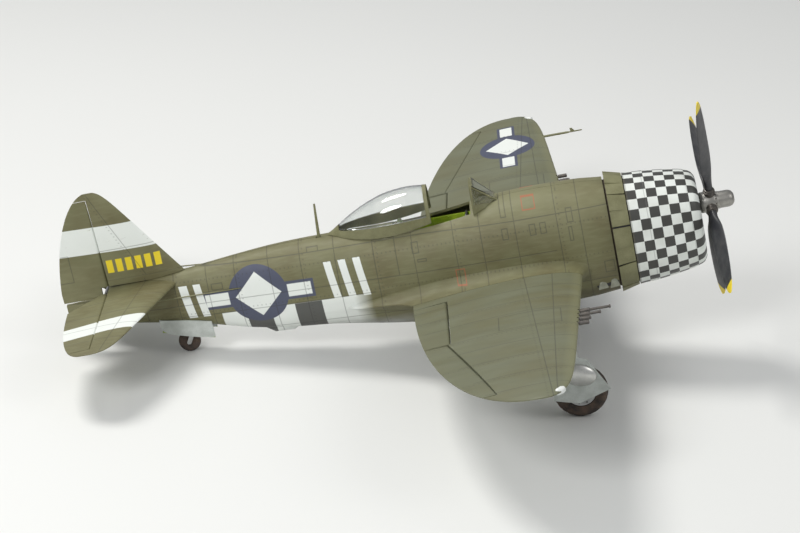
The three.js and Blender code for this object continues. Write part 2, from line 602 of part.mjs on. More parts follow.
function elevator(side) {
  const ring = (y) => surfaceOutline(ELEVATOR_HINGE_X, tailTrail(y), tailHingeRadius(y))
    .map(([x, h]) => [x, side * y, TAIL_Z + h]);
  const panel = loft(spread(ELEVATOR.inner, ELEVATOR.outer, 6).map(ring));
  const corner = prism([[-9.97, side * 0.1], [-9.97, side * 0.26], [-10.5, side * 0.76], [-10.5, side * 0.1]],
    'z', 0, 1);
  if (side > 0) return cut(panel, corner);
  const horn = prism([[-9.93, TAIL_Z], [-9.86, TAIL_Z], [-9.88, TAIL_Z - 0.26], [-9.93, TAIL_Z - 0.26]],
    'y', -0.335, -0.3 + ROD_RADIUS - mm(1) - GAP);
  return join(cut(panel, corner), horn);
}

function fin() {
  const zs = [TAIL_Z + 0.105, 0.9, 1.4, 1.75, 1.9, 1.98, FIN_TOP_Z - 0.005];
  const panel = loft(zs.map((z) => foilOutline(finLead(z), finTrail(z), finRatio(z))
    .map(([x, h]) => [x, h, z])));
  const end = RUDDER.top + HINGE_SLIT;
  const back = spread(0.2, end, 8).map((z) => [RUDDER_HINGE_X + rudderHingeRadius(z) + GAP, z]);
  return cut(panel, fuselageBody(GAP), prism([...back, [-11, end], [-11, 0.2]], 'y', -1, 1));
}

function rudderHingeRadius(z) {
  const chord = finLead(z) - finTrail(z);
  return 0.92 * foilHalf((finLead(z) - RUDDER_HINGE_X) / chord, chord, finRatio(z));
}

function rudder() {
  const panel = loft(spread(RUDDER.bottom, RUDDER.top, 7).map((z) => (
    surfaceOutline(RUDDER_HINGE_X, finTrail(z), rudderHingeRadius(z)).map(([x, h]) => [x, h, z]))));
  const horn = box(-9.93, -9.87, 0, RUDDER_ROD.to[1] + 0.02, 0.56, 0.56 + mm(1.2));
  const trail = finTrail(RUDDER.bottom) + 0.01;
  const heel = loft([[RUDDER_HEEL.low, 0.025], [RUDDER.bottom + 0.03, 0.04]].map(([z, half]) => [
    [RUDDER_HEEL.front, half, z], [trail, half * 0.3, z], [trail, -half * 0.3, z], [RUDDER_HEEL.front, -half, z],
  ]));
  return join(panel, horn, heel);
}

piece('tailplane', tailplane(), WING_OLIVE);
piece('elevator_left', elevator(1), WING_OLIVE);
piece('elevator_right', elevator(-1), WING_OLIVE);
piece('elevator_joiner', rod([ELEVATOR_HINGE_X, -ELEVATOR.inner + GAP, TAIL_Z],
  [ELEVATOR_HINGE_X, ELEVATOR.inner - GAP, TAIL_Z], mm(0.8)), STEEL);
piece('fin', fin(), OLIVE);
piece('rudder', rudder(), OLIVE);

// ---------------------------------------------------------------- cockpit, windscreen and canopy
const GLASS_WALL = mm(0.8);

function cockpitTub() {
  const wall = mm(1);
  const outer = box(COCKPIT.rear, COCKPIT.front, -COCKPIT.half, COCKPIT.half, COCKPIT.floor, COCKPIT.rim);
  return cut(outer, box(COCKPIT.rear + wall, COCKPIT.front - wall, -COCKPIT.half + wall,
    COCKPIT.half - wall, COCKPIT.floor + wall, 1));
}

function seat() {
  const pan = box(-4.93, -4.55, -0.2, 0.2, COCKPIT.floor + mm(1) + GAP, 0.06);
  const back = prism([[-4.98, 0], [-4.88, 0], [-4.93, 0.66], [-4.98, 0.66]], 'y', -0.2, 0.2);
  return join(pan, back);
}

const CANOPY_STATIONS = [
  [CANOPY_FRONT_X, 1.13, 0.36], [-4.75, 1.15, 0.38], [-5.1, 1.11, 0.375], [-5.35, 1.03, 0.35],
  [-5.6, 0.92, 0.3], [-5.85, 0.78, 0.22], [-6.02, 0.67, 0.13], [-6.12, 0.62, 0.07],
];
const CANOPY_TRAVEL = WINDSCREEN_REAR_X - CANOPY_FRONT_X - mm(0.6);

function canopyShell() {
  const dome = (grow, reach) => loft(CANOPY_STATIONS.map(([x, top, half], i) => (
    ovalRing(x + (i === 0 ? reach : 0), top, 0.1, Math.max(half + grow, 0.03), 0, 32, 2.3)
      .map(([rx, y, z]) => [rx, y, z + (z > 0.4 ? grow : 0)]))));
  const path = spread(0, 1, 4).map((share) => fuselageBody(GAP, -CANOPY_TRAVEL * share));
  return cut(dome(0, 0), dome(-GLASS_WALL, 0.1), ...path, box(-4, -7, -1, 1, -1, 0.38));
}

// The side view of the canopy's frame: front hoop, lower skirt and tail cap.
const canopyFrameSide = (grow) => prism([
  [-4.3, 0], [-4.3, 1.4], [-4.47 - grow, 1.4], [-4.47 - grow, 0.77 + grow], [-5.3, 0.74 + grow],
  [-5.78 + grow, 0.72 + grow], [-5.86 + grow, 1.4], [-6.4, 1.4], [-6.4, 0]], 'y', -1, 1);

function windscreenShell() {
  const section = (x, foot, shoulder, top, grow) => {
    const side = [[foot - grow, 0.2], [foot - grow, shoulder], [foot * 0.62 - grow, top - 0.05 - grow],
      [foot * 0.35, top - grow]];
    const mirrored = side.slice().reverse().map(([y, z]) => [-y, z]);
    return [...side, ...mirrored].map(([y, z]) => [x, y, z]);
  };
  const outer = loft([section(-3.25, 0.18, 0.6, 0.7, 0), section(WINDSCREEN_REAR_X, 0.36, 0.74, 1.1, 0)]);
  const inner = loft([section(-3.25 - 0.06, 0.18, 0.6, 0.7, GLASS_WALL),
    section(WINDSCREEN_REAR_X - 0.06, 0.36, 0.74, 1.1, GLASS_WALL)]);
  return cut(outer, inner, fuselageBody(GAP));
}

const windscreenFrameSide = (grow) => prism([
  [-3.8, 0], [-3.8, 1.4], [-3.66 + grow, 1.4], [-3.66 + grow, 0.8 + grow], [-3.1, 0.74 + grow],
  [-3.1, 0]], 'y', -1, 1);

piece('cockpit_tub', cockpitTub(), CHROMATE);
piece('pilot_seat', seat(), SEAT_OLIVE);
piece('canopy_frame', canopyShell().intersect(canopyFrameSide(0)), OLIVE);
piece('canopy_glass', cut(canopyShell(), canopyFrameSide(GAP)), GLASS);
piece('windscreen_frame', windscreenShell().intersect(windscreenFrameSide(0)), ARMOUR_WHITE);
piece('windscreen_glass', cut(windscreenShell(), windscreenFrameSide(GAP)), GLASS);
piece('antenna_mast', rod([MAST.x, 0, MAST.base], [MAST.x + MAST.rake, 0, MAST.tip], mm(0.9), mm(0.5), 8),
  OLIVE);

// ---------------------------------------------------------------- undercarriage
function mainLeg(side) {
  const { x, z, y } = MAIN_WHEEL;
  const leg = rod([-2.55, side * LEG.y, LEG.top], [x - 0.02, side * LEG.y, z + 0.02], LEG.radius);
  const foot = rod([x, side * (LEG.y + 0.05), z], [x, side * (LEG.y - 0.05), z], 0.07);
  const axle = rod([x, side * LEG.y, z], [x, side * (y - 0.1), z], 0.03);
  return join(leg, foot, axle);
}

// The fairing door on the leg, with a domed blister on its outer face.
function gearDoor(side) {
  const outline = [
    [-2.93, -1.83], [-2.55, -1.94], [-2.32, -1.87], [-2.03, -1.78], [-2.16, -1.53], [-2.31, -1.23],
    [-2.45, -1.16], [-2.46, -0.62], [-2.7, -0.62], [-2.76, -1.1], [-2.91, -1.6],
  ];
  const [inner, outer] = [2.565, 2.595];
  const plate = prism(outline, 'y', side > 0 ? inner : -outer, side > 0 ? outer : -inner);
  const dome = { x: -2.48, z: -1.46, halfX: 0.27, halfZ: 0.19, rise: 0.1, drop: 0.05 };
  const rings = spread(0, 1.45, 5).map((lift) => spread(0, 15, 15).map((i) => {
    const turn = (Math.PI * i) / 8;
    const reach = Math.cos(lift);
    return [dome.x + dome.halfX * reach * Math.cos(turn), side * (outer - 0.005 + dome.rise * Math.sin(lift)),
      dome.z + dome.halfZ * reach * Math.sin(turn) - dome.drop * reach * Math.cos(turn)];
  }));
  return join(plate, loft(rings));
}

// Tyre and hub turn together on the axle; `bore` is the axle hole.
function wheelHub({ x, y, z, radius, width }, side, bore) {
  const half = width / 2;
  const rim = radius * 0.55;
  return turned([[bore, -half * 0.8], [rim * 0.5, -half * 0.8], [rim * 0.6, -half * 0.45],
    [rim, -half * 0.6], [rim, half * 0.6], [rim * 0.6, half * 0.45], [rim * 0.5, half * 0.8],
    [bore, half * 0.8], [bore, -half * 0.8]], [x, side * y, z], 'y');
}

function tyre({ x, y, z, radius, width }, side, bore) {
  const profile = [];
  for (let i = 0; i <= 6; i++) {
    const turn = (Math.PI * i) / 6;
    profile.push([radius * (0.74 + 0.26 * Math.sin(turn)), (-width / 2) * Math.cos(turn)]);
  }
  const inner = [[bore, width * 0.36], [bore, -width * 0.36]];
  return turned([...profile, ...inner, profile[0]], [x, side * y, z], 'y', 24);
}

for (const [name, side] of [['left', 1], ['right', -1]]) {
  piece(`main_leg_${name}`, mainLeg(side), WHITE_METAL);
  piece(`gear_door_${name}`, gearDoor(side), DOOR_GREY);
  piece(`main_hub_${name}`, wheelHub(MAIN_WHEEL, side, 0.03 + GAP), WHITE_METAL);
  piece(`main_tyre_${name}`, tyre(MAIN_WHEEL, side, MAIN_WHEEL.radius * 0.55 + GAP), RUBBER);
}

function tailLeg() {
  const { x, z } = TAIL_WHEEL;
  const post = rod([TAIL_LEG.x, 0, TAIL_LEG.top], [TAIL_LEG.x, 0, -0.6], TAIL_LEG.radius);
  const crown = box(TAIL_LEG.x - 0.05, TAIL_LEG.x + 0.05, -0.1, 0.1, -0.63, -0.57);
  const arm = (side) => prism([[TAIL_LEG.x - 0.05, -0.58], [TAIL_LEG.x + 0.05, -0.58], [x + 0.04, z - 0.02],
    [x - 0.04, z - 0.02]], 'y', side > 0 ? 0.07 : -0.1, side > 0 ? 0.1 : -0.07);
  return join(post, crown, both(arm), rod([x, -0.08, z], [x, 0.08, z], mm(0.6)));
}

piece('tail_leg', tailLeg(), WHITE_METAL);
piece('tail_wheel', tyre(TAIL_WHEEL, 1, mm(0.6) + GAP), RUBBER);

// ---------------------------------------------------------------- parked attitude and origin
const run = MAIN_WHEEL.x - TAIL_WHEEL.x;
const drop = TAIL_WHEEL.z - MAIN_WHEEL.z;
const radii = MAIN_WHEEL.radius - TAIL_WHEEL.radius;
const noseUp = Math.atan2(drop, run) + Math.asin(radii / Math.hypot(run, drop));
aeroplane.rotation.y = -noseUp;
model.updateMatrixWorld(true);
const bounds = new THREE.Box3().setFromObject(model, true);
const middle = bounds.getCenter(new THREE.Vector3());
aeroplane.position.set(-middle.x, -middle.y, -bounds.min.z);
model.updateMatrixWorld(true);

export default model;
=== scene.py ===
"""Looks of a micro electric warbird parked on its wheels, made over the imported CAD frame.

Shapes are worked out in the aeroplane's own frame: full-size metres, x forward with the propeller plane at 0,
y to port, z up from the thrust line. at() turns such a place into the model's frame, at 1/32 scale.
"""
import json
import math

import bmesh
import bpy
from mathutils import Matrix, Vector


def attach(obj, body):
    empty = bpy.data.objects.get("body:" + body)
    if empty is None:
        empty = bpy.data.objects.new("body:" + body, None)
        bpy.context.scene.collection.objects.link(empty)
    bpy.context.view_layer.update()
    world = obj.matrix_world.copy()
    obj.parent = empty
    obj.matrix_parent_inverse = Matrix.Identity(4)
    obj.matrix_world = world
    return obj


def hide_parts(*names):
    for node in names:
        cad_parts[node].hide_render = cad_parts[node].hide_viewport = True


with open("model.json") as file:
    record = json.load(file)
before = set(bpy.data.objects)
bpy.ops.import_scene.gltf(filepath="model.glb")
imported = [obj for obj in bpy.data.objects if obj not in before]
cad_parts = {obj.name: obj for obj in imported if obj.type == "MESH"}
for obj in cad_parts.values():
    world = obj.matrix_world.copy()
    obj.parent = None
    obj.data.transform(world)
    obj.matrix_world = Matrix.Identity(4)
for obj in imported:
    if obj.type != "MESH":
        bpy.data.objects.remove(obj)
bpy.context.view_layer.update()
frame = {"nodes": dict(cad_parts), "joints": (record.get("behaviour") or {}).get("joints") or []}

NODES = frame["nodes"]
JOINTS = {joint["name"]: joint for joint in frame["joints"]}

# ------------------------------------------------------------------ the aeroplane's own frame
UNIT = 1 / 32
HUB = Vector(JOINTS["propeller_spin"]["pos_m"])
FORWARD = Vector(JOINTS["propeller_spin"]["axis"]).normalized()
PORT = Vector((0, 1, 0))
UPWARD = FORWARD.cross(PORT)
MM = 0.001 / UNIT  # one model millimetre in full-size metres


def at(x, y, z):
    return HUB + (FORWARD * x + PORT * y + UPWARD * z) * UNIT


# ------------------------------------------------------------------ mesh helpers
def spread(start, stop, steps):
    return [start + (stop - start) * i / steps for i in range(steps + 1)]


def circle(count):
    """(cosine, sine) pairs, evenly round a full turn."""
    turns = [2 * math.pi * i / count for i in range(count)]
    return [(math.cos(turn), math.sin(turn)) for turn in turns]


def round_the_shaft(count, x, radius):
    """Places on a circle about the thrust line."""
    return [Vector((x, radius * s, radius * c)) for c, s in circle(count)]


def new_piece(name, mesh, paint, body="airframe", replaced=(), sharp=35):
    """Puts a mesh in the scene as one piece that rides on a CAD body, in place of the named CAD nodes."""
    for polygon in mesh.polygons:
        polygon.use_smooth = True
    mesh.set_sharp_from_angle(angle=math.radians(sharp))
    piece = bpy.data.objects.new(name, mesh)
    bpy.context.scene.collection.objects.link(piece)
    mesh.materials.clear()
    mesh.materials.append(paint)
    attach(piece, body)
    if replaced:
        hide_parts(*replaced)
    return piece


def mesh_of(verts, faces):
    mesh = bpy.data.meshes.new("shape")
    mesh.from_pydata([tuple(v) for v in verts], [], faces)
    tidy = bmesh.new()
    tidy.from_mesh(mesh)
    bmesh.ops.remove_doubles(tidy, verts=tidy.verts, dist=1e-7)
    bmesh.ops.recalc_face_normals(tidy, faces=tidy.faces)
    tidy.to_mesh(mesh)
    tidy.free()
    return mesh


def loft(rings, looped=False):
    """A skin through rings of places in the aeroplane's own frame."""
    around = len(rings[0])
    verts = [at(*place) for ring in rings for place in ring]
    faces = []
    for i in range(len(rings) if looped else len(rings) - 1):
        here, there = i * around, (i + 1) % len(rings) * around
        for j in range(around):
            k = (j + 1) % around
            faces.append((here + j, here + k, there + k, there + j))
    if not looped:
        faces.append(tuple(reversed(range(around))))
        faces.append(tuple(range((len(rings) - 1) * around, len(rings) * around)))
    return mesh_of(verts, faces)


def box(x0, x1, y0, y1, z0, z1):
    return loft([[(x, y0, z0), (x, y1, z0), (x, y1, z1), (x, y0, z1)] for x in (x0, x1)])


def basis(direction):
    """Two unit vectors square to a direction."""
    along = Vector(direction).normalized()
    aside = along.orthogonal().normalized()
    return aside, along.cross(aside)


def rod(start, end, radius, count=20):
    """A round bar between two places, with small rounded ends."""
    start, end = Vector(start), Vector(end)
    aside, across = basis(end - start)
    along = (end - start).normalized()
    soft = radius * 0.25
    rings = []
    for place, size in ((start, radius - soft), (start + along * soft, radius),
            (end - along * soft, radius), (end, radius - soft)):
        rings.append([place + (aside * c + across * s) * size for c, s in circle(count)])
    return loft(rings)


def turned(profile, centre, axis, count=48, looped=False):
    """A body turned about an axis; the profile holds (radius, distance along the axis)."""
    aside, across = basis(axis)
    along = Vector(axis).normalized()
    rings = []
    for radius, distance in profile:
        middle = Vector(centre) + along * distance
        rings.append([middle + (aside * c + across * s) * max(radius, 1e-4) for c, s in circle(count)])
    return loft(rings, looped)


def prism(outline, along, start, stop):
    """A flat outline of (x, z) pairs run along y, or of (x, y) pairs run along z."""
    def ring(w):
        return [(u, w, v) if along == "y" else (u, v, w) for u, v in outline]
    return loft([ring(start), ring(stop)])


def merged(meshes):
    """Several meshes as one, left as separate islands."""
    whole = bmesh.new()
    for mesh in meshes:
        whole.from_mesh(mesh)
    result = bpy.data.meshes.new("shape")
    whole.to_mesh(result)
    whole.free()
    return result


def combined(mesh, tools, operation="DIFFERENCE"):
    """The mesh with each tool cut away from it, joined to it, or kept in common with it."""
    target = bpy.data.objects.new("target", mesh)
    bpy.context.scene.collection.objects.link(target)
    helpers = [target]
    for tool in tools:
        helper = bpy.data.objects.new("tool", tool)
        bpy.context.scene.collection.objects.link(helper)
        modifier = target.modifiers.new("cut", "BOOLEAN")
        modifier.operation, modifier.solver, modifier.object = operation, "EXACT", helper
        helpers.append(helper)
    depsgraph = bpy.context.evaluated_depsgraph_get()
    result = bpy.data.meshes.new_from_object(target.evaluated_get(depsgraph))
    for helper in helpers:
        bpy.data.objects.remove(helper)
    return result


# ------------------------------------------------------------------ shared outlines
def power(value, exponent):
    return math.copysign(abs(value) ** exponent, value)


def oval(x, top, bottom, half, grow=0.0, count=72, fullness=2.4):
    middle, rise = (top + bottom) / 2, (top - bottom) / 2 + grow
    return [(x, (half + grow) * power(c, 2 / fullness), middle + rise * power(s, 2 / fullness))
        for c, s in circle(count)]


def smooth_row(table, x):
    """A row of a station table at any x, on a smooth curve through its rows."""
    last = len(table) - 1
    i = next((k for k in range(last) if table[k + 1][0] <= x), last - 1)
    before, a, b, after = (table[min(max(k, 0), last)] for k in (i - 1, i, i + 1, i + 2))
    t = (x - a[0]) / (b[0] - a[0])

    def curve(k):
        start = (b[k] - before[k]) / (b[0] - before[0]) * (b[0] - a[0])
        stop = (after[k] - a[k]) / (after[0] - a[0]) * (b[0] - a[0])
        return (a[k] * (2 * t**3 - 3 * t**2 + 1) + start * (t**3 - 2 * t**2 + t)
                + b[k] * (3 * t**2 - 2 * t**3) + stop * (t**3 - t**2))
    return [curve(k) for k in range(1, len(a))]


def super_curve(share, exponent, root=None):
    return max(1e-3, 1 - min(1.0, share) ** exponent) ** (1 / (root or exponent))


SEMI_SPAN, TAIL_SEMI_SPAN, FIN_TOP = 6.22, 2.6, 2.03
WING_AXIS, TAIL_AXIS = -3.03, -9.97  # x of the widest line of each panel
WING_LOW, WING_RISE = -0.57, 0.08  # height of the wing at the middle, and its rise per metre of span


def wing_lead(y):
    return WING_AXIS + (0.93 - 0.07 * y) * super_curve(y / SEMI_SPAN, 16, 3)


def wing_trail(y):
    return WING_AXIS - 1.9 * super_curve(y / SEMI_SPAN, 2.2)


def wing_z(y):
    return WING_LOW + WING_RISE * y


def wing_ratio(y):
    return 0.115 - 0.004 * y


def tail_lead(y):
    return TAIL_AXIS + (1.32 - 0.35 * y) * super_curve(y / TAIL_SEMI_SPAN, 16, 3)


def tail_trail(y):
    return TAIL_AXIS - 0.5 * super_curve(y / TAIL_SEMI_SPAN, 2.6)


def tail_ratio(y):
    return 0.1 - 0.012 * y


def fin_lead(z):
    return -9.82 + (1.25 - 0.678 * (z - 0.47)) * super_curve(z / FIN_TOP, 24, 3)


def fin_trail(z):
    return -9.85 - 0.81 * super_curve(z / FIN_TOP, 1.8)


def fin_ratio(z):
    return 0.085 - 0.012 * z


def foil_half(share, chord, ratio):
    s = min(1.0, max(0.0, share))
    bulge = 0.2969 * math.sqrt(s) - 0.126 * s - 0.3516 * s**2 + 0.2843 * s**3 - 0.1015 * s**4
    return max(0.2 * MM, 5 * ratio * chord * bulge)


def foil(lead, trail, ratio, steps=28):
    """(x, height) points round an aerofoil."""
    upper = []
    for i in range(steps + 1):
        share = (1 + math.cos(math.pi * i / steps)) / 2
        upper.append((lead - share * (lead - trail),
                0 if i == steps else foil_half(share, lead - trail, ratio)))
    return upper + [(x, -height) for x, height in reversed(upper[:-1])]


def hinged_outline(hinge, trail, radius):
    nose = []
    for i in range(13):
        turn = math.pi / 2 - math.pi * i / 12
        nose.append((hinge + radius * math.cos(turn), radius * math.sin(turn)))
    return nose + [(trail, -0.25 * MM), (trail, 0.25 * MM)]


def hinge_radius(lead, trail, ratio, hinge):
    return 0.92 * foil_half((lead - hinge) / (lead - trail), lead - trail, ratio)


# ------------------------------------------------------------------ procedural paint
class Field:
    """A number that varies over a surface, in one material's node tree."""

    def __init__(self, paint, socket):
        self.paint, self.socket = paint, socket

    def number(self, operation, *others, clamp=False):
        node = self.paint.tree.nodes.new("ShaderNodeMath")
        node.operation, node.use_clamp = operation, clamp
        for slot, value in zip(node.inputs, (self, *others)):
            if isinstance(value, Field):
                self.paint.tree.links.new(value.socket, slot)
            else:
                slot.default_value = value
        return Field(self.paint, node.outputs[0])

    def __add__(self, other):
        return self.number("ADD", other)

    def __sub__(self, other):
        return self.number("SUBTRACT", other)

    def __mul__(self, other):
        return self.number("MULTIPLY", other)

    def __neg__(self):
        return self.number("MULTIPLY", -1.0)

    def over(self, edge, soft=0.006):
        """1 where the field is above the edge, 0 below it, with a soft step between."""
        return self.number("MULTIPLY_ADD", 1 / soft, 0.5 - edge / soft, clamp=True)

    def under(self, edge, soft=0.006):
        return self.number("MULTIPLY_ADD", -1 / soft, 0.5 + edge / soft, clamp=True)

    def between(self, low, high, soft=0.006):
        return self.over(low, soft) * self.under(high, soft)

    def off(self, place):
        return (self - place).number("ABSOLUTE")

    def line(self, place, width=0.011):
        """A thin line where the field passes a place."""
        return self.off(place).number("MULTIPLY_ADD", -1 / width, 1.0, clamp=True)

    def most(self, other):
        return self.number("MAXIMUM", other)

    def wave(self, pitch):
        """0 to 1 and back once each pitch."""
        return self.number("PINGPONG", pitch / 2) * (2 / pitch)


def most(fields):
    fields = list(fields)
    result = fields[0]
    for field in fields[1:]:
        result = result.most(field)
    return result


class Paint:
    """One procedural material. x, y and z are fields of the place in the aeroplane's own frame."""

    def __init__(self, name, **settings):
        self.material = bpy.data.materials.new(name)
        self.material.use_nodes = True
        self.tree = self.material.node_tree
        self.shader = self.tree.nodes["Principled BSDF"]
        for key, value in settings.items():
            self.shader.inputs[key.replace("_", " ")].default_value = value
        coordinates = self.tree.nodes.new("ShaderNodeTexCoord")
        mapping = self.tree.nodes.new("ShaderNodeMapping")
        turn = Matrix((FORWARD, PORT, UPWARD))
        mapping.inputs["Location"].default_value = -(turn @ HUB) / UNIT
        mapping.inputs["Rotation"].default_value = turn.to_euler()
        mapping.inputs["Scale"].default_value = (1 / UNIT,) * 3
        self.tree.links.new(coordinates.outputs["Object"], mapping.inputs["Vector"])
        self.place = mapping.outputs[0]
        split = self.tree.nodes.new("ShaderNodeSeparateXYZ")
        self.tree.links.new(self.place, split.inputs[0])
        self.x, self.y, self.z = (Field(self, out) for out in split.outputs)

    def noise(self, scale, detail=3.0, stretch=(1, 1, 1)):
        mapping = self.tree.nodes.new("ShaderNodeMapping")
        mapping.inputs["Scale"].default_value = stretch
        self.tree.links.new(self.place, mapping.inputs["Vector"])
        node = self.tree.nodes.new("ShaderNodeTexNoise")
        node.inputs["Scale"].default_value = scale
        node.inputs["Detail"].default_value = detail
        self.tree.links.new(mapping.outputs[0], node.inputs["Vector"])
        return Field(self, node.outputs[0])

    def mix(self, under, over, share):
        """A colour socket or tuple, laid over another where the share is 1."""
        node = self.tree.nodes.new("ShaderNodeMix")
        node.data_type = "RGBA"
        for slot, value in ((6, under), (7, over)):
            if isinstance(value, tuple):
                node.inputs[slot].default_value = (*value, 1)
            else:
                self.tree.links.new(value, node.inputs[slot])
        self.tree.links.new(share.socket, node.inputs[0])
        return node.outputs[2]

    def finish(self, colour, roughness=None, height=None, depth=0.02):
        """Joins the colour, roughness and relief (depth in model millimetres) to the shader."""
        self.tree.links.new(colour, self.shader.inputs["Base Color"])
        if roughness is not None:
            self.tree.links.new(roughness.socket, self.shader.inputs["Roughness"])
        if height is not None:
            bump = self.tree.nodes.new("ShaderNodeBump")
            bump.inputs["Strength"].default_value = 0.6
            bump.inputs["Distance"].default_value = depth * 0.001
            self.tree.links.new(height.socket, bump.inputs["Height"])
            self.tree.links.new(bump.outputs[0], self.shader.inputs["Normal"])
        return self.material


# linear colours
OLIVE, OLIVE_BROWN, OLIVE_LIGHT = (0.142, 0.138, 0.064), (0.12, 0.108, 0.046), (0.225, 0.222, 0.118)
WING_DRAB, WING_GREY, WING_DARK = (0.13, 0.133, 0.074), (0.17, 0.185, 0.13), (0.085, 0.088, 0.055)
BADGE_NAVY, CHALK, SOOT = (0.062, 0.07, 0.11), (0.72, 0.75, 0.71), (0.045, 0.045, 0.04)
LINE_DARK, BELLY_GREY, YELLOW = (0.03, 0.03, 0.028), (0.42, 0.43, 0.4), (0.75, 0.58, 0.02)


def drab(paint, stretch=(1, 1, 1)):
    """Flat olive drab: broad brown and light patches, then fine brushed streaks."""
    colour = paint.mix(OLIVE, OLIVE_BROWN, paint.noise(1.3, 2).over(0.52, 0.25))
    colour = paint.mix(colour, OLIVE_LIGHT, paint.noise(0.9, 4).over(0.62, 0.35) * 0.55)
    return paint.mix(colour, OLIVE_LIGHT, paint.noise(9, 4, stretch).over(0.6, 0.3) * 0.35)


def rivets(along, pitch, rows):
    """Small dots at a pitch, on the given thin lines."""
    return along.wave(pitch).over(0.72, 0.2) * rows


def hatch(u, v, centre_u, centre_v, half_u, half_v, width=0.012):
    """The thin outline of a small panel."""
    return (u.off(centre_u) - half_u).most(v.off(centre_v) - half_v).line(0.0, width)


def badge(u, v, centre_u, centre_v, radius):
    """A navy disc with a plain white diamond, and a plain white block either side of it."""
    du, dv = u.off(centre_u), v.off(centre_v)
    distance = (du * du + dv * dv).number("SQRT")
    disc = distance.under(radius)
    diamond = (du + dv).under(radius * 0.78, 0.01)
    blocks = du.between(radius * 1.0, radius * 1.8, 0.01) * dv.under(radius * 0.22, 0.01)
    border = du.under(radius * 1.9, 0.01) * dv.under(radius * 0.32, 0.01)
    return disc.most(border), diamond.most(blocks)


BAR_FOOT = -0.34
SIDE_BARS = [  # rear, front and top of each slanted white bar
    (-8.66, -8.52, 0.24), (-8.42, -8.3, 0.24), (-6.22, -6.1, 0.3), (-5.98, -5.86, 0.3), (-5.74, -5.62, 0.3),
]
FRAME_LINES = (-2.05, -2.42, -3.1, -3.66, -4.1, -4.78, -5.42, -6.05, -6.62, -7.15, -7.72, -8.2, -8.75, -9.3)
SIDE_HATCHES = [  # middle x and z, then half length and half height
    (-5.24, 0.2, 0.18, 0.29), (-4.74, 0.3, 0.05, 0.08), (-4.66, 0.1, 0.07, 0.02), (-2.825, 0.3, 0.045, 0.08),
    (-2.655, 0.3, 0.045, 0.08), (-3.27, 0.3, 0.045, 0.08), (-3.255, 0.66, 0.04, 0.12),
    (-2.21, 0.42, 0.045, 0.1), (-2.23, 0.14, 0.025, 0.11), (-1.71, -0.52, 0.075, 0.1),
    (-8.05, 0.16, 0.09, 0.05), (-6.4, 0.5, 0.09, 0.03),
]


def fuselage_paint():
    paint = Paint("olive_fuselage", Roughness=0.62)
    x, z = paint.x, paint.z
    colour = drab(paint, (0.5, 1, 3))
    # lighter towards the top
    top_lightening = z.over(0.5, 0.5) * 0.25
    colour = paint.mix(colour, OLIVE_LIGHT, top_lightening)
    ragged = paint.noise(2.5, 3) * 0.16
    belly = (z + ragged).under(-0.78, 0.16) * x.under(-5.0, 0.5)
    colour = paint.mix(colour, BELLY_GREY, belly)
    band_zone = z.under(-0.32, 0.012) * x.between(-8.07, -5.9, 0.012).most(x.between(-6.4, -5.72, 0.3))
    dark = x.between(-7.66, -7.25).most(x.between(-6.85, -6.4))
    colour = paint.mix(colour, CHALK, band_zone)
    colour = paint.mix(colour, SOOT, band_zone * dark * 0.95)
    disc, white = badge(x, z, -7.4, -0.07, 0.49)
    colour = paint.mix(colour, BADGE_NAVY, disc)
    slant = x + z * 0.12
    bars = most(slant.between(rear, front) * z.between(BAR_FOOT, top) for rear, front, top in SIDE_BARS)
    colour = paint.mix(colour, CHALK, white.most(bars) * paint.noise(22, 3).over(0.2, 0.2))
    frames = most(x.line(place) for place in FRAME_LINES)
    stringers = most([z.line(0.47), z.line(-0.09) * x.under(-2.5), z.line(-0.31) * x.under(-5.5),
            z.line(-0.72)])
    hatches = most(hatch(x, z, *place) for place in SIDE_HATCHES)
    seams = most([frames, stringers, hatches])
    dots = most([rivets(z, 0.07, most(x.line(place + 0.05, 0.02) for place in (-2.42, -4.1, -5.42, -6.62,
            -7.72, -8.75))),
            rivets(x, 0.07, z.line(0.3, 0.02)), rivets(x, 0.07, z.line(-0.26, 0.02))])
    colour = paint.mix(colour, LINE_DARK, seams * 0.6)
    colour = paint.mix(colour, LINE_DARK, dots * 0.4)
    squares = hatch(x, z, -2.83, 0.66, 0.1, 0.07).most(hatch(x, z, -4.085, -0.25, 0.07, 0.11))
    colour = paint.mix(colour, (0.42, 0.09, 0.04), squares * 0.75)
    # darker in noisy patches towards the bottom of the forward fuselage
    low_darkening = paint.noise(1.6, 3, (0.35, 1, 2)).over(0.5, 0.3) * z.under(-0.55, 0.5) * 0.45
    colour = paint.mix(colour, (0.06, 0.05, 0.035), low_darkening * x.over(-6.6, 1.0))
    rough = paint.noise(6, 2) * 0.18 + 0.5
    height = (seams + dots * 0.6) * -1.0 + paint.noise(60, 2) * 0.12
    return paint.finish(colour, rough, height, 0.12)


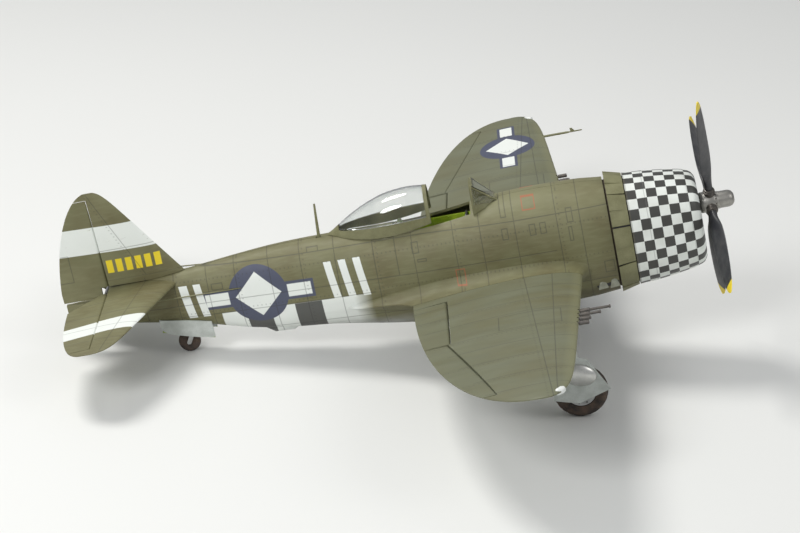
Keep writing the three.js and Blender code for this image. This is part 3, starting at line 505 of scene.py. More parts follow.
def wing_paint():
    paint = Paint("olive_wing", Roughness=0.6)
    x, z = paint.x, paint.z
    span = paint.y.number("ABSOLUTE")
    colour = paint.mix(WING_DRAB, OLIVE_BROWN, paint.noise(1.1, 2).over(0.56, 0.3) * 0.7)
    streaks = paint.noise(2.2, 4, (0.5, 1.6, 1)).over(0.5, 0.45)
    colour = paint.mix(colour, WING_GREY, streaks * 0.45)
    colour = paint.mix(colour, WING_DARK, paint.noise(3.1, 3, (0.4, 2, 1)).over(0.6, 0.3) * 0.25)
    edge = (x + span * 0.07).over(-2.2, 0.16)
    colour = paint.mix(colour, OLIVE_LIGHT, edge * 0.55)
    below = (z - span * WING_RISE).under(-0.585, 0.02)
    colour = paint.mix(colour, BELLY_GREY, below)
    disc, white = badge(paint.y, x, 4.75, -3.15, 0.5)
    upper_port = (z - span * WING_RISE).over(-0.56, 0.02)
    colour = paint.mix(colour, BADGE_NAVY, disc * upper_port)
    colour = paint.mix(colour, CHALK, white * upper_port)
    spars = most([(x - span * -0.02).line(-2.62), (x - span * 0.055).line(-3.15)]) * x.over(-4.95)
    ribs = most(span.line(place) for place in (1.55, 2.1, 2.62, 3.36, 3.9, 4.5, 5.2, 5.75))
    ribs = ribs * (x - span * 0.3).over(-5.5)
    seams = most([spars, ribs, hatch(span, x, 3.0, -3.05, 0.3, 0.48)])
    dots = most([rivets(x, 0.075, most(span.line(place + 0.06, 0.02) for place in (2.1, 3.36, 4.5, 5.2))),
            rivets(span, 0.075, (x - span * 0.055).line(-3.22, 0.02))])
    colour = paint.mix(colour, LINE_DARK, seams * 0.6)
    colour = paint.mix(colour, LINE_DARK, dots * 0.4)
    rough = streaks * 0.12 + 0.5
    return paint.finish(colour, rough, (seams + dots * 0.6) * -1.0 + paint.noise(70, 2) * 0.1, 0.12)


def tail_paint():
    paint = Paint("olive_tail", Roughness=0.62)
    x, z = paint.x, paint.z
    span = paint.y.number("ABSOLUTE")
    colour = drab(paint, (0.4, 2, 2))
    is_fin = z.over(0.5, 0.02) * span.under(0.3)
    fin_band = (z + x * 0.02).between(0.8, 1.25)
    plane_band = (span + x * 0.12).between(0.21, 0.66) * z.under(0.45, 0.02)
    worn = paint.noise(14, 4, (0.5, 2, 2)).over(0.2, 0.25)
    colour = paint.mix(colour, CHALK, (fin_band * is_fin).most(plane_band) * worn)
    column = (x + 9.81).wave(0.16).over(0.34, 0.1)
    blocks = column * x.between(-9.81, -8.87) * z.between(0.63, 0.85) * is_fin
    colour = paint.mix(colour, YELLOW, blocks)
    fin_seams = most([z.line(1.02), z.line(0.5), (x + z * 0.45).line(-8.95)]) * is_fin * x.over(-9.85)
    tab = most([x.line(-10.38) * z.between(0.56, 1.02), z.line(1.02) * x.under(-10.38),
            z.line(0.56) * x.under(-10.38)])
    ribs = most(span.line(place) for place in (0.6, 1.1, 1.6, 2.1))
    plane_seams = most([ribs, (x + span * 0.2).line(-9.2)]) * z.under(0.45)
    seams = most([fin_seams, tab, plane_seams])
    colour = paint.mix(colour, LINE_DARK, seams * 0.55)
    dots = rivets(z, 0.06, (x + z * 0.45).line(-9.0, 0.02)) * is_fin
    colour = paint.mix(colour, LINE_DARK, dots * 0.4)
    return paint.finish(colour, paint.noise(6, 2) * 0.18 + 0.5, seams * -1.0, 0.12)


def checker_paint():
    paint = Paint("checkered_cowl", Roughness=0.42)
    x, y, z = paint.x, paint.y, paint.z
    turn = ((z + 0.2) * 0.78).number("ARCTAN2", y)
    column = ((x + 1.27) * (1 / 0.163)).number("FLOOR")
    row = (turn * (32 / (2 * math.pi)) + 64).number("FLOOR")
    odd = (column + row + 40).number("MODULO", 2.0).over(0.5, 0.01)
    white = paint.mix(CHALK, (0.6, 0.62, 0.57), paint.noise(5, 4).over(0.55, 0.3) * 0.6)
    colour = paint.mix(white, SOOT, odd)
    seams = most([x.line(-0.98), y.line(0.0), x.line(-0.3)])
    colour = paint.mix(colour, LINE_DARK, seams * 0.35)
    edge = x.under(-1.25, 0.02) * 0.5
    colour = paint.mix(colour, (0.1, 0.09, 0.06), edge)
    return paint.finish(colour, paint.noise(9, 2) * 0.2 + 0.32, seams * -1.0, 0.1)


def speckled(name, base, worn, scale=6.0, roughness=0.5, metallic=0.0, spread_by=0.16, grain=0.03,
        **settings):
    """A painted, moulded or metal surface with soft patches, fine grain and uneven gloss."""
    paint = Paint(name, Metallic=metallic, **settings)
    patches = paint.noise(scale, 4).over(0.52, 0.3)
    fine = paint.noise(scale * 9, 3)
    colour = paint.mix(base, worn, patches * 0.6)
    colour = paint.mix(colour, worn, fine.over(0.6, 0.2) * 0.35)
    return paint.finish(colour, paint.noise(scale * 2, 3) * spread_by + (roughness - spread_by / 2), fine,
            grain)


def blade_paint():
    paint = Paint("black_blades")
    reach = (paint.y * paint.y + paint.z * paint.z).number("SQRT")
    colour = paint.mix((0.022, 0.023, 0.027), (0.05, 0.05, 0.052),
            paint.noise(7, 4, (1, 1, 1)).over(0.55, 0.3))
    colour = paint.mix(colour, (0.2, 0.2, 0.2), paint.noise(40, 3).over(0.72, 0.1) * 0.6)
    colour = paint.mix(colour, YELLOW, reach.over(1.95, 0.01))
    return paint.finish(colour, paint.noise(9, 2) * 0.2 + 0.3, paint.noise(50, 2), 0.02)


def glass_paint(name, density):
    paint = Paint(name, Roughness=0.03, IOR=density)
    paint.shader.inputs["Transmission Weight"].default_value = 1.0
    colour = paint.mix((0.97, 0.98, 0.97), (0.9, 0.93, 0.92), paint.noise(4, 3).over(0.55, 0.3))
    return paint.finish(colour)


# ------------------------------------------------------------------ fuselage
SKIN, GAP = 1.2 * MM, 0.3 * MM
FUSELAGE = [
    (-1.6, 0.69, -1.16, 0.72), (-2.1, 0.74, -1.21, 0.73), (-3.2, 0.74, -1.22, 0.72), (-4.4, 0.6, -1.18, 0.66),
    (-5.15, 0.58, -1.1, 0.6), (-6.3, 0.59, -0.92, 0.5), (-7.0, 0.58, -0.85, 0.43), (-7.66, 0.53, -0.74, 0.36),
    (-8.55, 0.44, -0.5, 0.27), (-9.2, 0.4, -0.38, 0.2), (-9.9, 0.28, -0.25, 0.12), (-10.6, 0.22, 0.02, 0.04),
]
COWL = [
    (-0.13, 0.5, -0.93, 0.56), (-0.2, 0.55, -0.98, 0.62), (-0.4, 0.61, -1.04, 0.67),
        (-0.9, 0.68, -1.12, 0.72),
    (-1.27, 0.71, -1.15, 0.74), (-1.57, 0.76, -1.2, 0.79),
]
WING_ROOT = 1.02
COCKPIT = {"front": -3.78, "rear": -5.05, "half": 0.29}
HATCH = {"front": -2.06, "rear": -3.6, "half": 0.36, "flat": -1.185}
MAST_X, TAIL_LEG_X, TAIL_Z = -6.29, -8.62, 0.3
ELEVATOR_TIP, RUDDER_TOP = 2.42, 1.9
RUDDER_HINGE, ELEVATOR_HINGE = -9.89, -9.9
RUDDER_ROD = ((-5.98, 0.36, 0.16), (-9.74, 0.2, 0.52))
ELEVATOR_ROD = ((-5.98, -0.36, 0.06), (-9.86, -0.3, 0.1))


def fuselage_body(grow=0.0, start=-1.6, stop=-10.6, steps=72, shift=0.0):
    rings = []
    for x in spread(start, stop, steps):
        top, bottom, half = smooth_row(FUSELAGE, min(x, -1.6))
        rings.append(oval(x + shift, top, bottom, half, max(grow, 0.02 - half)))
    return loft(rings)


def root_fairing(side):
    """The flared fairing that carries the fuselage side out into the wing."""
    table = [(0.3, -1.9, -6.1, 1.9, -0.52), (0.62, -1.95, -5.85, 1.75, -0.52),
            (0.78, -2.06, -5.25, 1.3, -0.51),
            (0.9, -2.13, -5.05, 1.08, wing_z(0.9)),
            (WING_ROOT - GAP, wing_lead(WING_ROOT), wing_trail(WING_ROOT), 1.0, wing_z(WING_ROOT))]
    down = [(-row[0], *row[1:]) for row in table]
    rings = []
    for y in spread(0.3, WING_ROOT - GAP, 18):
        lead, trail, tall, z = smooth_row(down, -y)
        rings.append([(x, side * y, z + h * tall) for x, h in foil(lead, trail, wing_ratio(WING_ROOT))])
    return loft(rings)


def tail_door(side):
    def section(x, y, top, low):
        return [(x, side * y, top), (x, side * (y + 0.9 * MM), top), (x, side * (y + 0.9 * MM), low),
                (x, side * y, low)]
    return loft([section(-8.28, 0.21, -0.45, -0.73), section(-8.5, 0.2, -0.405, -0.7),
            section(-8.7, 0.19, -0.365, -0.65), section(-9.0, 0.15, -0.33, -0.58),
            section(-9.1, 0.135, -0.315, -0.52), section(-9.14, 0.13, -0.3, -0.44)])


def exhaust_hood():
    rows = [(-6.82, 0.02, -0.82), (-6.98, 0.12, -0.92), (-7.3, 0.13, -0.9), (-7.52, 0.03, -0.76)]
    return loft([oval(x, -0.6, low, half + 0.05, 0, 32, 2) for x, half, low in rows])


def spar_body(grow):
    def section(y):
        z, dx, dz = wing_z(abs(y)), 0.06 + grow, 0.075 + grow
        return [(-3.0 + a, y, z + b) for a, b in ((-dx, -dz), (dx, -dz), (dx, dz), (-dx, dz))]
    return loft([section(y) for y in (-2.0 - grow, 0, 2.0 + grow)])


def fuselage_shells(paint):
    outside = combined(fuselage_body(), [root_fairing(1), root_fairing(-1), exhaust_hood()], "UNION")
    openings = [
        fuselage_body(-SKIN, -1.5, -10.0), spar_body(GAP),
        box(COCKPIT["rear"] - GAP, COCKPIT["front"] + GAP, -COCKPIT["half"] - GAP, COCKPIT["half"] + GAP,
            -0.3, 1),
        box(HATCH["rear"] - GAP, HATCH["front"] + GAP, -HATCH["half"] - GAP, HATCH["half"] + GAP, -1.4, -0.9),
        box(-11, ELEVATOR_HINGE + 0.1, -0.5, 0.5, TAIL_Z - 0.115, 1),
        rod((MAST_X, 0, 0.43), (MAST_X, 0, 1), 1.1 * MM + GAP),
        rod((TAIL_LEG_X, 0, -1), (TAIL_LEG_X, 0, 0), 0.04 + GAP),
        rod(*RUDDER_ROD, 0.6 * MM), rod(*ELEVATOR_ROD, 0.6 * MM),
    ]
    body = combined(outside, openings)
    for name, side in (("left", 1), ("right", -1)):
        half = combined(body.copy(), [box(-11, -1, side * GAP / 2, side * 2, -2, 2)], "INTERSECT")
        new_piece(f"fuselage_{name}", half, paint, replaced=[f"fuselage_{name}_shell"], sharp=30)


def belly_hatch(paint):
    keel = box(HATCH["rear"], HATCH["front"], -HATCH["half"], HATCH["half"], HATCH["flat"], -0.9)
    plate = combined(combined(fuselage_body(-0.001), [keel], "INTERSECT"), [fuselage_body(-SKIN, -1.5, -6)])
    new_piece("belly_hatch", plate, paint, replaced=["battery_hatch"], sharp=30)


# ------------------------------------------------------------------ cowl and engine
def cowl_wall(profile, count=96):
    return [oval(x, *smooth_row(COWL, x), -inset, count, 2.15) for x, inset in profile]


def cowl(paint):
    profile = [(x, 0.0) for x in spread(-1.27, -0.22, 14)]
    profile += [(-0.18, 0.008), (-0.15, 0.028), (-0.13, 0.055), (-0.135, 0.09), (-0.16, 0.115), (-0.22, 0.13)]
    profile += [(-0.5, 0.12), (-0.9, 0.06), (-1.27, 0.045)]
    rings = cowl_wall(profile)
    new_piece("cowl_shell", loft(rings, looped=True), paint, replaced=["cowl_ring"])


def cowl_flap_ring(paint, dark):
    """Separate overlapping flaps round the back of the cowl."""
    count, per = 200, 10
    flaps = []
    for i in range(count // per):
        lift = 0.022 if i % 2 else 0.0
        section = [(-1.285, 0.002), (-1.42, -lift * 0.5), (-1.57, -lift), (-1.57, 0.024 - lift),
            (-1.42, 0.024 - lift * 0.5), (-1.285, 0.026)]
        rings = [[ring[(i * per + k) % count] for k in range(per + i % 2)] for ring in cowl_wall(section,
                count)]
        around = len(rings[0])
        verts = [at(*place) for ring in rings for place in ring]
        faces = []
        for r in range(len(rings)):
            here, there = r * around, (r + 1) % len(rings) * around
            faces += [(here + j, here + j + 1, there + j + 1, there + j) for j in range(around - 1)]
        faces.append(tuple(r * around for r in range(len(rings))))
        faces.append(tuple(reversed([r * around + around - 1 for r in range(len(rings))])))
        flaps.append(mesh_of(verts, faces))
    # a dark ring under the flaps is painted shade, showing through the gaps between them
    inner = loft(cowl_wall([(-1.2, 0.054), (-1.275, 0.05), (-1.3, 0.03), (-1.56, 0.03), (-1.56, 0.038),
            (-1.3, 0.042), (-1.275, 0.06), (-1.2, 0.064)]), looped=True)
    new_piece("cowl_flap_petals", merged(flaps), paint, replaced=["cowl_flaps"], sharp=25)
    new_piece("cowl_flap_shade_ring", inner, dark)


def engine(dark, metal, brass):
    drum = turned([(0.05, 0), (0.24, 0), (0.27, 0.03), (0.27, 0.23), (0.25, 0.26), (0.22, 0.29), (0.21, 0.36),
            (0.2, 0.42), (0.17, 0.46), (0.12, 0.5), (0.06, 0.5), (0.06, 0.46), (0.05, 0.2)],
            (-0.9, 0, 0), (1, 0, 0), 48, looped=True)
    fins, tubes, caps = [], [], []
    for i in range(9):
        turn = 2 * math.pi * i / 9
        out = Vector((0, math.sin(turn), math.cos(turn)))
        aside = Vector((0, math.cos(turn), -math.sin(turn)))
        centre = Vector((-0.76, 0, 0))
        profile = [(0.062, 0.25)]
        for k in range(11):
            start = 0.26 + k * 0.022
            profile += [(0.062, start), (0.089, start + 0.004), (0.089, start + 0.011),
                    (0.062, start + 0.015)]
        profile += [(0.075, 0.505), (0.07, 0.53), (0.045, 0.55), (0.0, 0.552)]
        fins.append(turned([(0.0, 0.25)] + profile, centre, out, 20))
        for side in (-1, 1):
            foot = centre + out * 0.25 + aside * side * 0.045 + Vector((0.1, 0, 0))
            head = centre + out * 0.52 + aside * side * 0.05 + Vector((0.055, 0, 0))
            tubes.append(rod(foot, head, 0.011, count=10))
            caps.append(rod(head - out * 0.01, head + out * 0.02, 0.02, count=10))
    bolts = [rod(place, place + Vector((0.025, 0, 0)), 0.014, count=6)
        for place in round_the_shaft(18, -0.62, 0.235)]
    new_piece("engine_drum", drum, metal, replaced=["dummy_engine"])
    new_piece("engine_cylinders", merged(fins), dark, sharp=25)
    new_piece("engine_push_tubes", merged(tubes + caps), brass)
    new_piece("engine_bolts", merged(bolts), brass)


# ------------------------------------------------------------------ propeller
BLADE_SECTIONS = [
    (0.285, 0.13, 0.12, 0.9), (0.42, 0.15, 0.1, 0.85), (0.7, 0.27, 0.06, 0.75), (1.1, 0.34, 0.045, 0.6),
    (1.6, 0.32, 0.034, 0.5), (1.93, 0.24, 0.026, 0.44), (2.06, 0.15, 0.022, 0.42), (2.12, 0.05, 0.018, 0.42),
]
PROP_TILT = -0.384
BLADE_X = 0.06


def blade(turn):
    down = [(-row[0], *row[1:]) for row in BLADE_SECTIONS]
    rings = []
    for radius in spread(0.285, 2.06, 40) + [2.085, 2.105, 2.117]:
        chord, thick, pitch = smooth_row(down, -radius)
        ring = []
        for i in range(28):
            a = 2 * math.pi * i / 28
            along, out = chord / 2 * math.cos(a), thick / 2 * math.sin(a)
            side = along * math.cos(pitch) - out * math.sin(pitch)
            x = BLADE_X + along * math.sin(pitch) + out * math.cos(pitch)
            ring.append((x, radius * math.sin(turn) + side * math.cos(turn),
                    radius * math.cos(turn) - side * math.sin(turn)))
        rings.append(ring)
    return loft(rings)


def propeller(black, polished, dark):
    for i in range(4):
        turn = PROP_TILT + math.pi / 2 * i
        new_piece(f"propeller_blade_{i + 1}", blade(turn), black, "propeller", [f"blade_{i + 1}"])
    barrel = turned([(0, 0), (0.1, 0), (0.11, 0.015), (0.125, 0.06), (0.16, 0.075), (0.17, 0.1), (0.17, 0.3),
            (0.16, 0.325), (0.15, 0.33), (0.15, 0.345), (0.143, 0.35), (0.143, 0.39), (0.138, 0.395),
            (0.138, 0.53), (0.132, 0.565), (0.115, 0.6), (0.085, 0.625), (0.045, 0.638), (0, 0.64)],
            (-0.19, 0, 0), (1, 0, 0), 56)
    sockets, rings, bolts = [], [], []
    for i in range(4):
        turn = PROP_TILT + math.pi / 2 * i
        out = Vector((0, math.sin(turn), math.cos(turn)))
        sockets.append(turned([(0, 0.1), (0.085, 0.1), (0.085, 0.2), (0.092, 0.205), (0.092, 0.235),
                (0.08, 0.24),
                (0.08, 0.265), (0.072, 0.27), (0, 0.27)], (BLADE_X, 0, 0), out, 32))
        rings.append(turned([(0.083, 0.212), (0.095, 0.212), (0.095, 0.226), (0.083, 0.226)],
                (BLADE_X, 0, 0), out, 32,
                looped=True))
    for foot in round_the_shaft(12, 0.14, 0.148):
        bolts.append(rod(foot, foot + Vector((0.02, 0, 0)), 0.011, count=6))
    new_piece("propeller_hub", barrel, polished, "propeller", ["prop_hub"])
    new_piece("propeller_clamps", merged(sockets + rings + bolts), dark, "propeller")


# ------------------------------------------------------------------ wings
AILERON = (3.37, 5.8, lambda y: -5.37 + 0.3 * y)
FLAP = (1.3, 3.31, lambda y: -4.465 + 0.041 * y)
SLIT = 0.7 * MM
GUNS = list(zip((2.72, 2.9, 3.09, 3.28), (-1.81, -1.97, -2.13, -2.25)))
GUN_RADIUS, GUN_RACK = 0.027, -2.46
LEG_Y, LEG_RADIUS = 2.5, 0.045
PITOT = {"y": 5.12, "foot": -2.62, "tip": -1.77, "radius": 0.02}
SERVO_Y = 4.15


def wing_radius(y, hinge):
    return hinge_radius(wing_lead(y), wing_trail(y), wing_ratio(y), hinge)


def surface_bay(side, inner, outer, hinge):
    front = [(hinge(y) + wing_radius(y, hinge(y)) + GAP, side * y) for y in spread(inner - SLIT,
            outer + SLIT, 12)]
    return prism(front + [(-5.4, side * (outer + SLIT)), (-5.4, side * (inner - SLIT))], "z", -1, 0.6)


def gun_rack(side, grow):
    rack = []
    for y in (2.66 - grow, 3.34 + grow):
        size = 0.035 + grow
        rack.append([(GUN_RACK + a * size, side * y, wing_z(y) + b * size)
                for a, b in ((-1, -1), (1, -1), (1, 1), (-1, 1))])
    barrels = [rod((GUN_RACK, side * y, wing_z(y)), (muzzle, side * y, wing_z(y)), GUN_RADIUS + grow)
            for y, muzzle in GUNS]
    return loft(rack), barrels


def wing_panel(side, paint, name):
    stations = spread(WING_ROOT, 5.4, 34) + spread(5.45, 6.1, 14) + [6.13, 6.16, 6.185, 6.2, 6.21, 6.215]
    panel = loft([[(x, side * y, wing_z(y) + h) for x, h in foil(wing_lead(y), wing_trail(y), wing_ratio(y))]
            for y in stations])
    rack, barrels = gun_rack(side, GAP)
    tools = [surface_bay(side, *AILERON), surface_bay(side, *FLAP), spar_body(GAP), rack, *barrels,
            box(-3.58 - GAP, -3.1 + GAP, side * (3.86 - GAP), side * (4.1 + GAP), -0.6,
            wing_z(4) + 0.05 + GAP),
            box(-3.7, -3.3, side * 4.09, side * (SERVO_Y + 0.055), -1, wing_z(4) + 0.045),
            rod((-2.55, side * LEG_Y, -1), (-2.55, side * LEG_Y, -0.42 + GAP), LEG_RADIUS + GAP)]
    if side > 0:
        z = wing_z(PITOT["y"])
        tools.append(rod((PITOT["foot"] - GAP, PITOT["y"], z), (PITOT["tip"], PITOT["y"], z),
                PITOT["radius"] + GAP))
    new_piece(f"wing_panel_{name}", combined(panel, tools), paint, replaced=[f"wing_{name}"], sharp=32)


def wing_surface(side, inner, outer, hinge, steps):
    return loft([[(x, side * y, wing_z(y) + h)
            for x, h in hinged_outline(hinge(y), wing_trail(y), wing_radius(y, hinge(y)))]
            for y in spread(inner, outer, steps)])


def wing_surfaces(side, paint, name):
    y, hinge = SERVO_Y, AILERON[2]
    x, z = hinge(y) - 0.02, wing_z(y)
    horn = prism([(x - 0.06, z), (x + 0.03, z), (x + 0.025, z - 0.1), (x + 0.01, z - 0.19),
            (x - 0.015, z - 0.19)],
            "y", side * y - 0.6 * MM, side * y + 0.6 * MM)
    new_piece(f"aileron_skin_{name}", merged([wing_surface(side, *AILERON, 24), horn]), paint,
            f"aileron_{name}", [f"aileron_{name}"])
    new_piece(f"flap_skin_{name}", wing_surface(side, *FLAP, 16), paint, f"flap_{name}", [f"flap_{name}"])


def wing_guns(side, dark, name):
    rack = gun_rack(side, 0)[0]
    muzzles, shrouds = [], []
    for y, muzzle in GUNS:
        z = wing_z(y)
        lead = wing_lead(y)
        muzzles.append(turned([(0.012, 0), (0.021, 0), (0.021, 0.05), (0.027, 0.055), (0.027, 0.075),
                (0.012, 0.08)], (muzzle - 0.08, side * y, z), (1, 0, 0), 16, looped=True))
        shrouds.append(rod((lead + 0.002, side * y, z), (lead + 0.16, side * y, z), 0.033, count=16))
    slim = [rod((GUN_RACK, side * y, wing_z(y)), (muzzle - 0.07, side * y, wing_z(y)), 0.021)
            for y, muzzle in GUNS]
    new_piece(f"gun_barrels_{name}", merged([rack, *slim, *muzzles, *shrouds]), dark,
            replaced=[f"gun_set_{name}"])


def pitot(paint):
    y, z, r = PITOT["y"], wing_z(PITOT["y"]), PITOT["radius"]
    tube = turned([(0, 0), (r, 0), (r, 0.55), (r * 0.8, 0.6), (r * 0.6, 0.62), (r * 0.6, 0.83),
            (r * 0.4, 0.85),
            (0, 0.85)], (PITOT["foot"], y, z), (1, 0, 0), 16)
    vane = prism([(-1.98, z), (-1.9, z), (-1.95, z + 0.07), (-1.99, z + 0.07)], "y", y - 0.006, y + 0.006)
    new_piece("pitot_probe", merged([tube, vane]), paint, replaced=["pitot_tube"])


# ------------------------------------------------------------------ tail
def tail_radius(y):
    return hinge_radius(tail_lead(y), tail_trail(y), tail_ratio(y), ELEVATOR_HINGE)


def fin_radius(z):
    return hinge_radius(fin_lead(z), fin_trail(z), fin_ratio(z), RUDDER_HINGE)


def tail_surfaces(paint):
    outer = spread(0, 2.4, 20) + spread(2.43, 2.58, 8) + [2.59, 2.595]
    ys = [-y for y in reversed(outer[1:])] + outer
    tip = ELEVATOR_TIP + SLIT / 2
    plane = loft([[(x, y, TAIL_Z + h)
            for x, h in foil(tail_lead(abs(y)), tail_trail(abs(y)), tail_ratio(abs(y)))] for y in ys])
    front = [(ELEVATOR_HINGE + tail_radius(abs(y)) + GAP, y) for y in spread(-tip, tip, 24)]
    plane = combined(plane, [prism(front + [(-11, tip), (-11, -tip)], "z", 0, 0.6)])
    new_piece("tailplane_skin", plane, paint, replaced=["tailplane"])
    for name, side in (("left", 1), ("right", -1)):
        skin = loft([[(x, side * y, TAIL_Z + h)
                for x, h in hinged_outline(ELEVATOR_HINGE, tail_trail(y), tail_radius(y))]
                for y in spread(0.24, ELEVATOR_TIP, 28)])
        corner = prism([(-9.97, side * 0.1), (-9.97, side * 0.26), (-10.5, side * 0.76), (-10.5, side * 0.1)],
                "z", 0, 1)
        skin = combined(skin, [corner])
        if side < 0:
            horn = prism([(-9.93, TAIL_Z), (-9.86, TAIL_Z), (-9.88, TAIL_Z - 0.26), (-9.93, TAIL_Z - 0.26)],
                    "y", -0.335, -0.3 - 0.5 * MM - GAP)
            skin = merged([skin, horn])
        new_piece(f"elevator_skin_{name}", skin, paint, "elevators", [f"elevator_{name}"])
    heights = spread(TAIL_Z + 0.105, 1.85, 24) + spread(1.87, 2.01, 8) + [2.018, 2.025]
    fin = loft([[(x, h, z) for x, h in foil(fin_lead(z), fin_trail(z), fin_ratio(z))] for z in heights])
    back = [(RUDDER_HINGE + fin_radius(z) + GAP, z) for z in spread(0.2, RUDDER_TOP + SLIT / 2, 16)]
    back = prism([*back, (-11, RUDDER_TOP + SLIT / 2), (-11, 0.2)], "y", -1, 1)
    new_piece("fin_skin", combined(fin, [fuselage_body(GAP), back]), paint, replaced=["fin"])
    rudder = loft([[(x, h, z) for x, h in hinged_outline(RUDDER_HINGE, fin_trail(z), fin_radius(z))]
            for z in spread(0.4, RUDDER_TOP, 28)])
    foot = fin_trail(0.4)
    horn = box(-9.93, -9.87, 0, 0.22, 0.56, 0.56 + 1.2 * MM)
    heel = loft([[(TAIL_AXIS, h, z), (foot, h * 0.3, z), (foot, -h * 0.3, z), (TAIL_AXIS, -h, z)]
            for z, h in ((0.215, 0.025), (0.402, 0.04))])
    new_piece("rudder_skin", merged([rudder, heel, horn]), paint, "rudder", ["rudder"])


# ------------------------------------------------------------------ cockpit glazing
GLASS_WALL = 0.8 * MM
CANOPY = [
    (-4.41, 1.13, 0.36), (-4.75, 1.15, 0.38), (-5.1, 1.11, 0.375), (-5.35, 1.03, 0.35), (-5.6, 0.92, 0.3),
    (-5.85, 0.78, 0.22), (-6.02, 0.67, 0.13), (-6.12, 0.62, 0.07),
]
CANOPY_TRAVEL = 0.69 - 0.6 * MM


def canopy_parts(olive, glass):
    def dome(grow, reach):
        rings = []
        for x in spread(-4.41, -6.12, 40):
            top, half = smooth_row(CANOPY, x)
            ahead = reach if x == -4.41 else 0
            ring = oval(x + ahead, top, 0.1, max(half + grow, 0.03), 0, 72, 2.3)
            rings.append([(a, b, c + (grow if c > 0.4 else 0)) for a, b, c in ring])
        return loft(rings)
    paths = [fuselage_body(GAP, shift=-CANOPY_TRAVEL * share, steps=40) for share in spread(0, 1, 4)]
    shell = combined(dome(0, 0), [dome(-GLASS_WALL, 0.1), *paths, box(-4, -7, -1, 1, -1, 0.38)])

    def frame_side(grow):
        return prism([(-4.3, 0), (-4.3, 1.4), (-4.47 - grow, 1.4), (-4.47 - grow, 0.72 + grow),
                (-5.3, 0.69 + grow),
                (-5.92 + grow, 0.67 + grow), (-6.0 + grow, 1.4), (-6.4, 1.4), (-6.4, 0)], "y", -1, 1)
    new_piece("canopy_rim", combined(shell.copy(), [frame_side(0)], "INTERSECT"), olive, "canopy",
            ["canopy_frame"])
    new_piece("canopy_bubble", combined(shell, [frame_side(GAP)]), glass, "canopy", ["canopy_glass"],
            sharp=60)


# ------------------------------------------------------------------ wheels and legs
MAIN_WHEEL = {"x": -2.5, "y": 2.34, "z": -1.84, "radius": 0.43, "width": 0.2}
TAIL_WHEEL = {"x": -8.75, "y": 0.0, "z": -0.81, "radius": 0.185, "width": 0.1}


def tyre(wheel, side, bore):
    """A tyre with a rounded tread cut by shallow blocks."""
    radius, width = wheel["radius"], wheel["width"]
    centre = Vector((wheel["x"], side * wheel["y"], wheel["z"]))
    profile = []
    for i in range(19):
        turn = math.pi * i / 18
        profile.append((radius * (0.74 + 0.26 * math.sin(turn)), -width / 2 * math.cos(turn)))
    profile += [(bore, width * 0.36), (bore, -width * 0.36)]
    count = 96
    rings = []
    for k, (r, distance) in enumerate(profile):
        ring = []
        for i in range(count):
            turn = 2 * math.pi * i / count
            tread = abs(distance) < width * 0.32 and r > radius * 0.85
            low = 0.012 * radius / 0.43 if tread and (i // 2 + k // 2) % 2 else 0
            ring.append(centre + Vector(((r - low) * math.cos(turn), distance, (r - low) * math.sin(turn))))
        rings.append(ring)
    return loft(rings, looped=True)


def main_wheel(side, name, rubber, silver, dark):
    new_piece(f"tyre_{name}", tyre(MAIN_WHEEL, side, MAIN_WHEEL["radius"] * 0.55 + GAP), rubber,
            f"main_wheel_{name}", [f"main_tyre_{name}"], sharp=50)
    centre = (MAIN_WHEEL["x"], side * MAIN_WHEEL["y"], MAIN_WHEEL["z"])
    rim, bore = MAIN_WHEEL["radius"] * 0.55, 0.03 + GAP
    hub = turned([(bore, -0.08), (0.07, -0.08), (0.085, -0.07), (0.1, -0.045), (0.17, -0.035), (0.2, -0.055),
            (rim, -0.06), (rim, 0.06), (0.2, 0.055), (0.17, 0.035), (0.1, 0.045), (0.085, 0.07),
            (0.07, 0.08), (bore, 0.08)], centre, (0, 1, 0), 56, looped=True)
    holes = []
    for c, s in circle(8):
        place = Vector(centre) + Vector((0.135 * c, 0, 0.135 * s))
        holes.append(rod(place - Vector((0, 0.2, 0)), place + Vector((0, 0.2, 0)), 0.024))
    new_piece(f"wheel_hub_{name}", combined(hub, holes), silver, f"main_wheel_{name}", [f"main_hub_{name}"])
    nuts = []
    for c, s in circle(10):
        place = Vector(centre) + Vector((0.2 * c, 0, 0.2 * s))
        nuts.append(rod(place - Vector((0, 0.064, 0)), place + Vector((0, 0.064, 0)), 0.012, count=6))
    new_piece(f"hub_bolts_{name}", merged(nuts), dark, f"main_wheel_{name}")


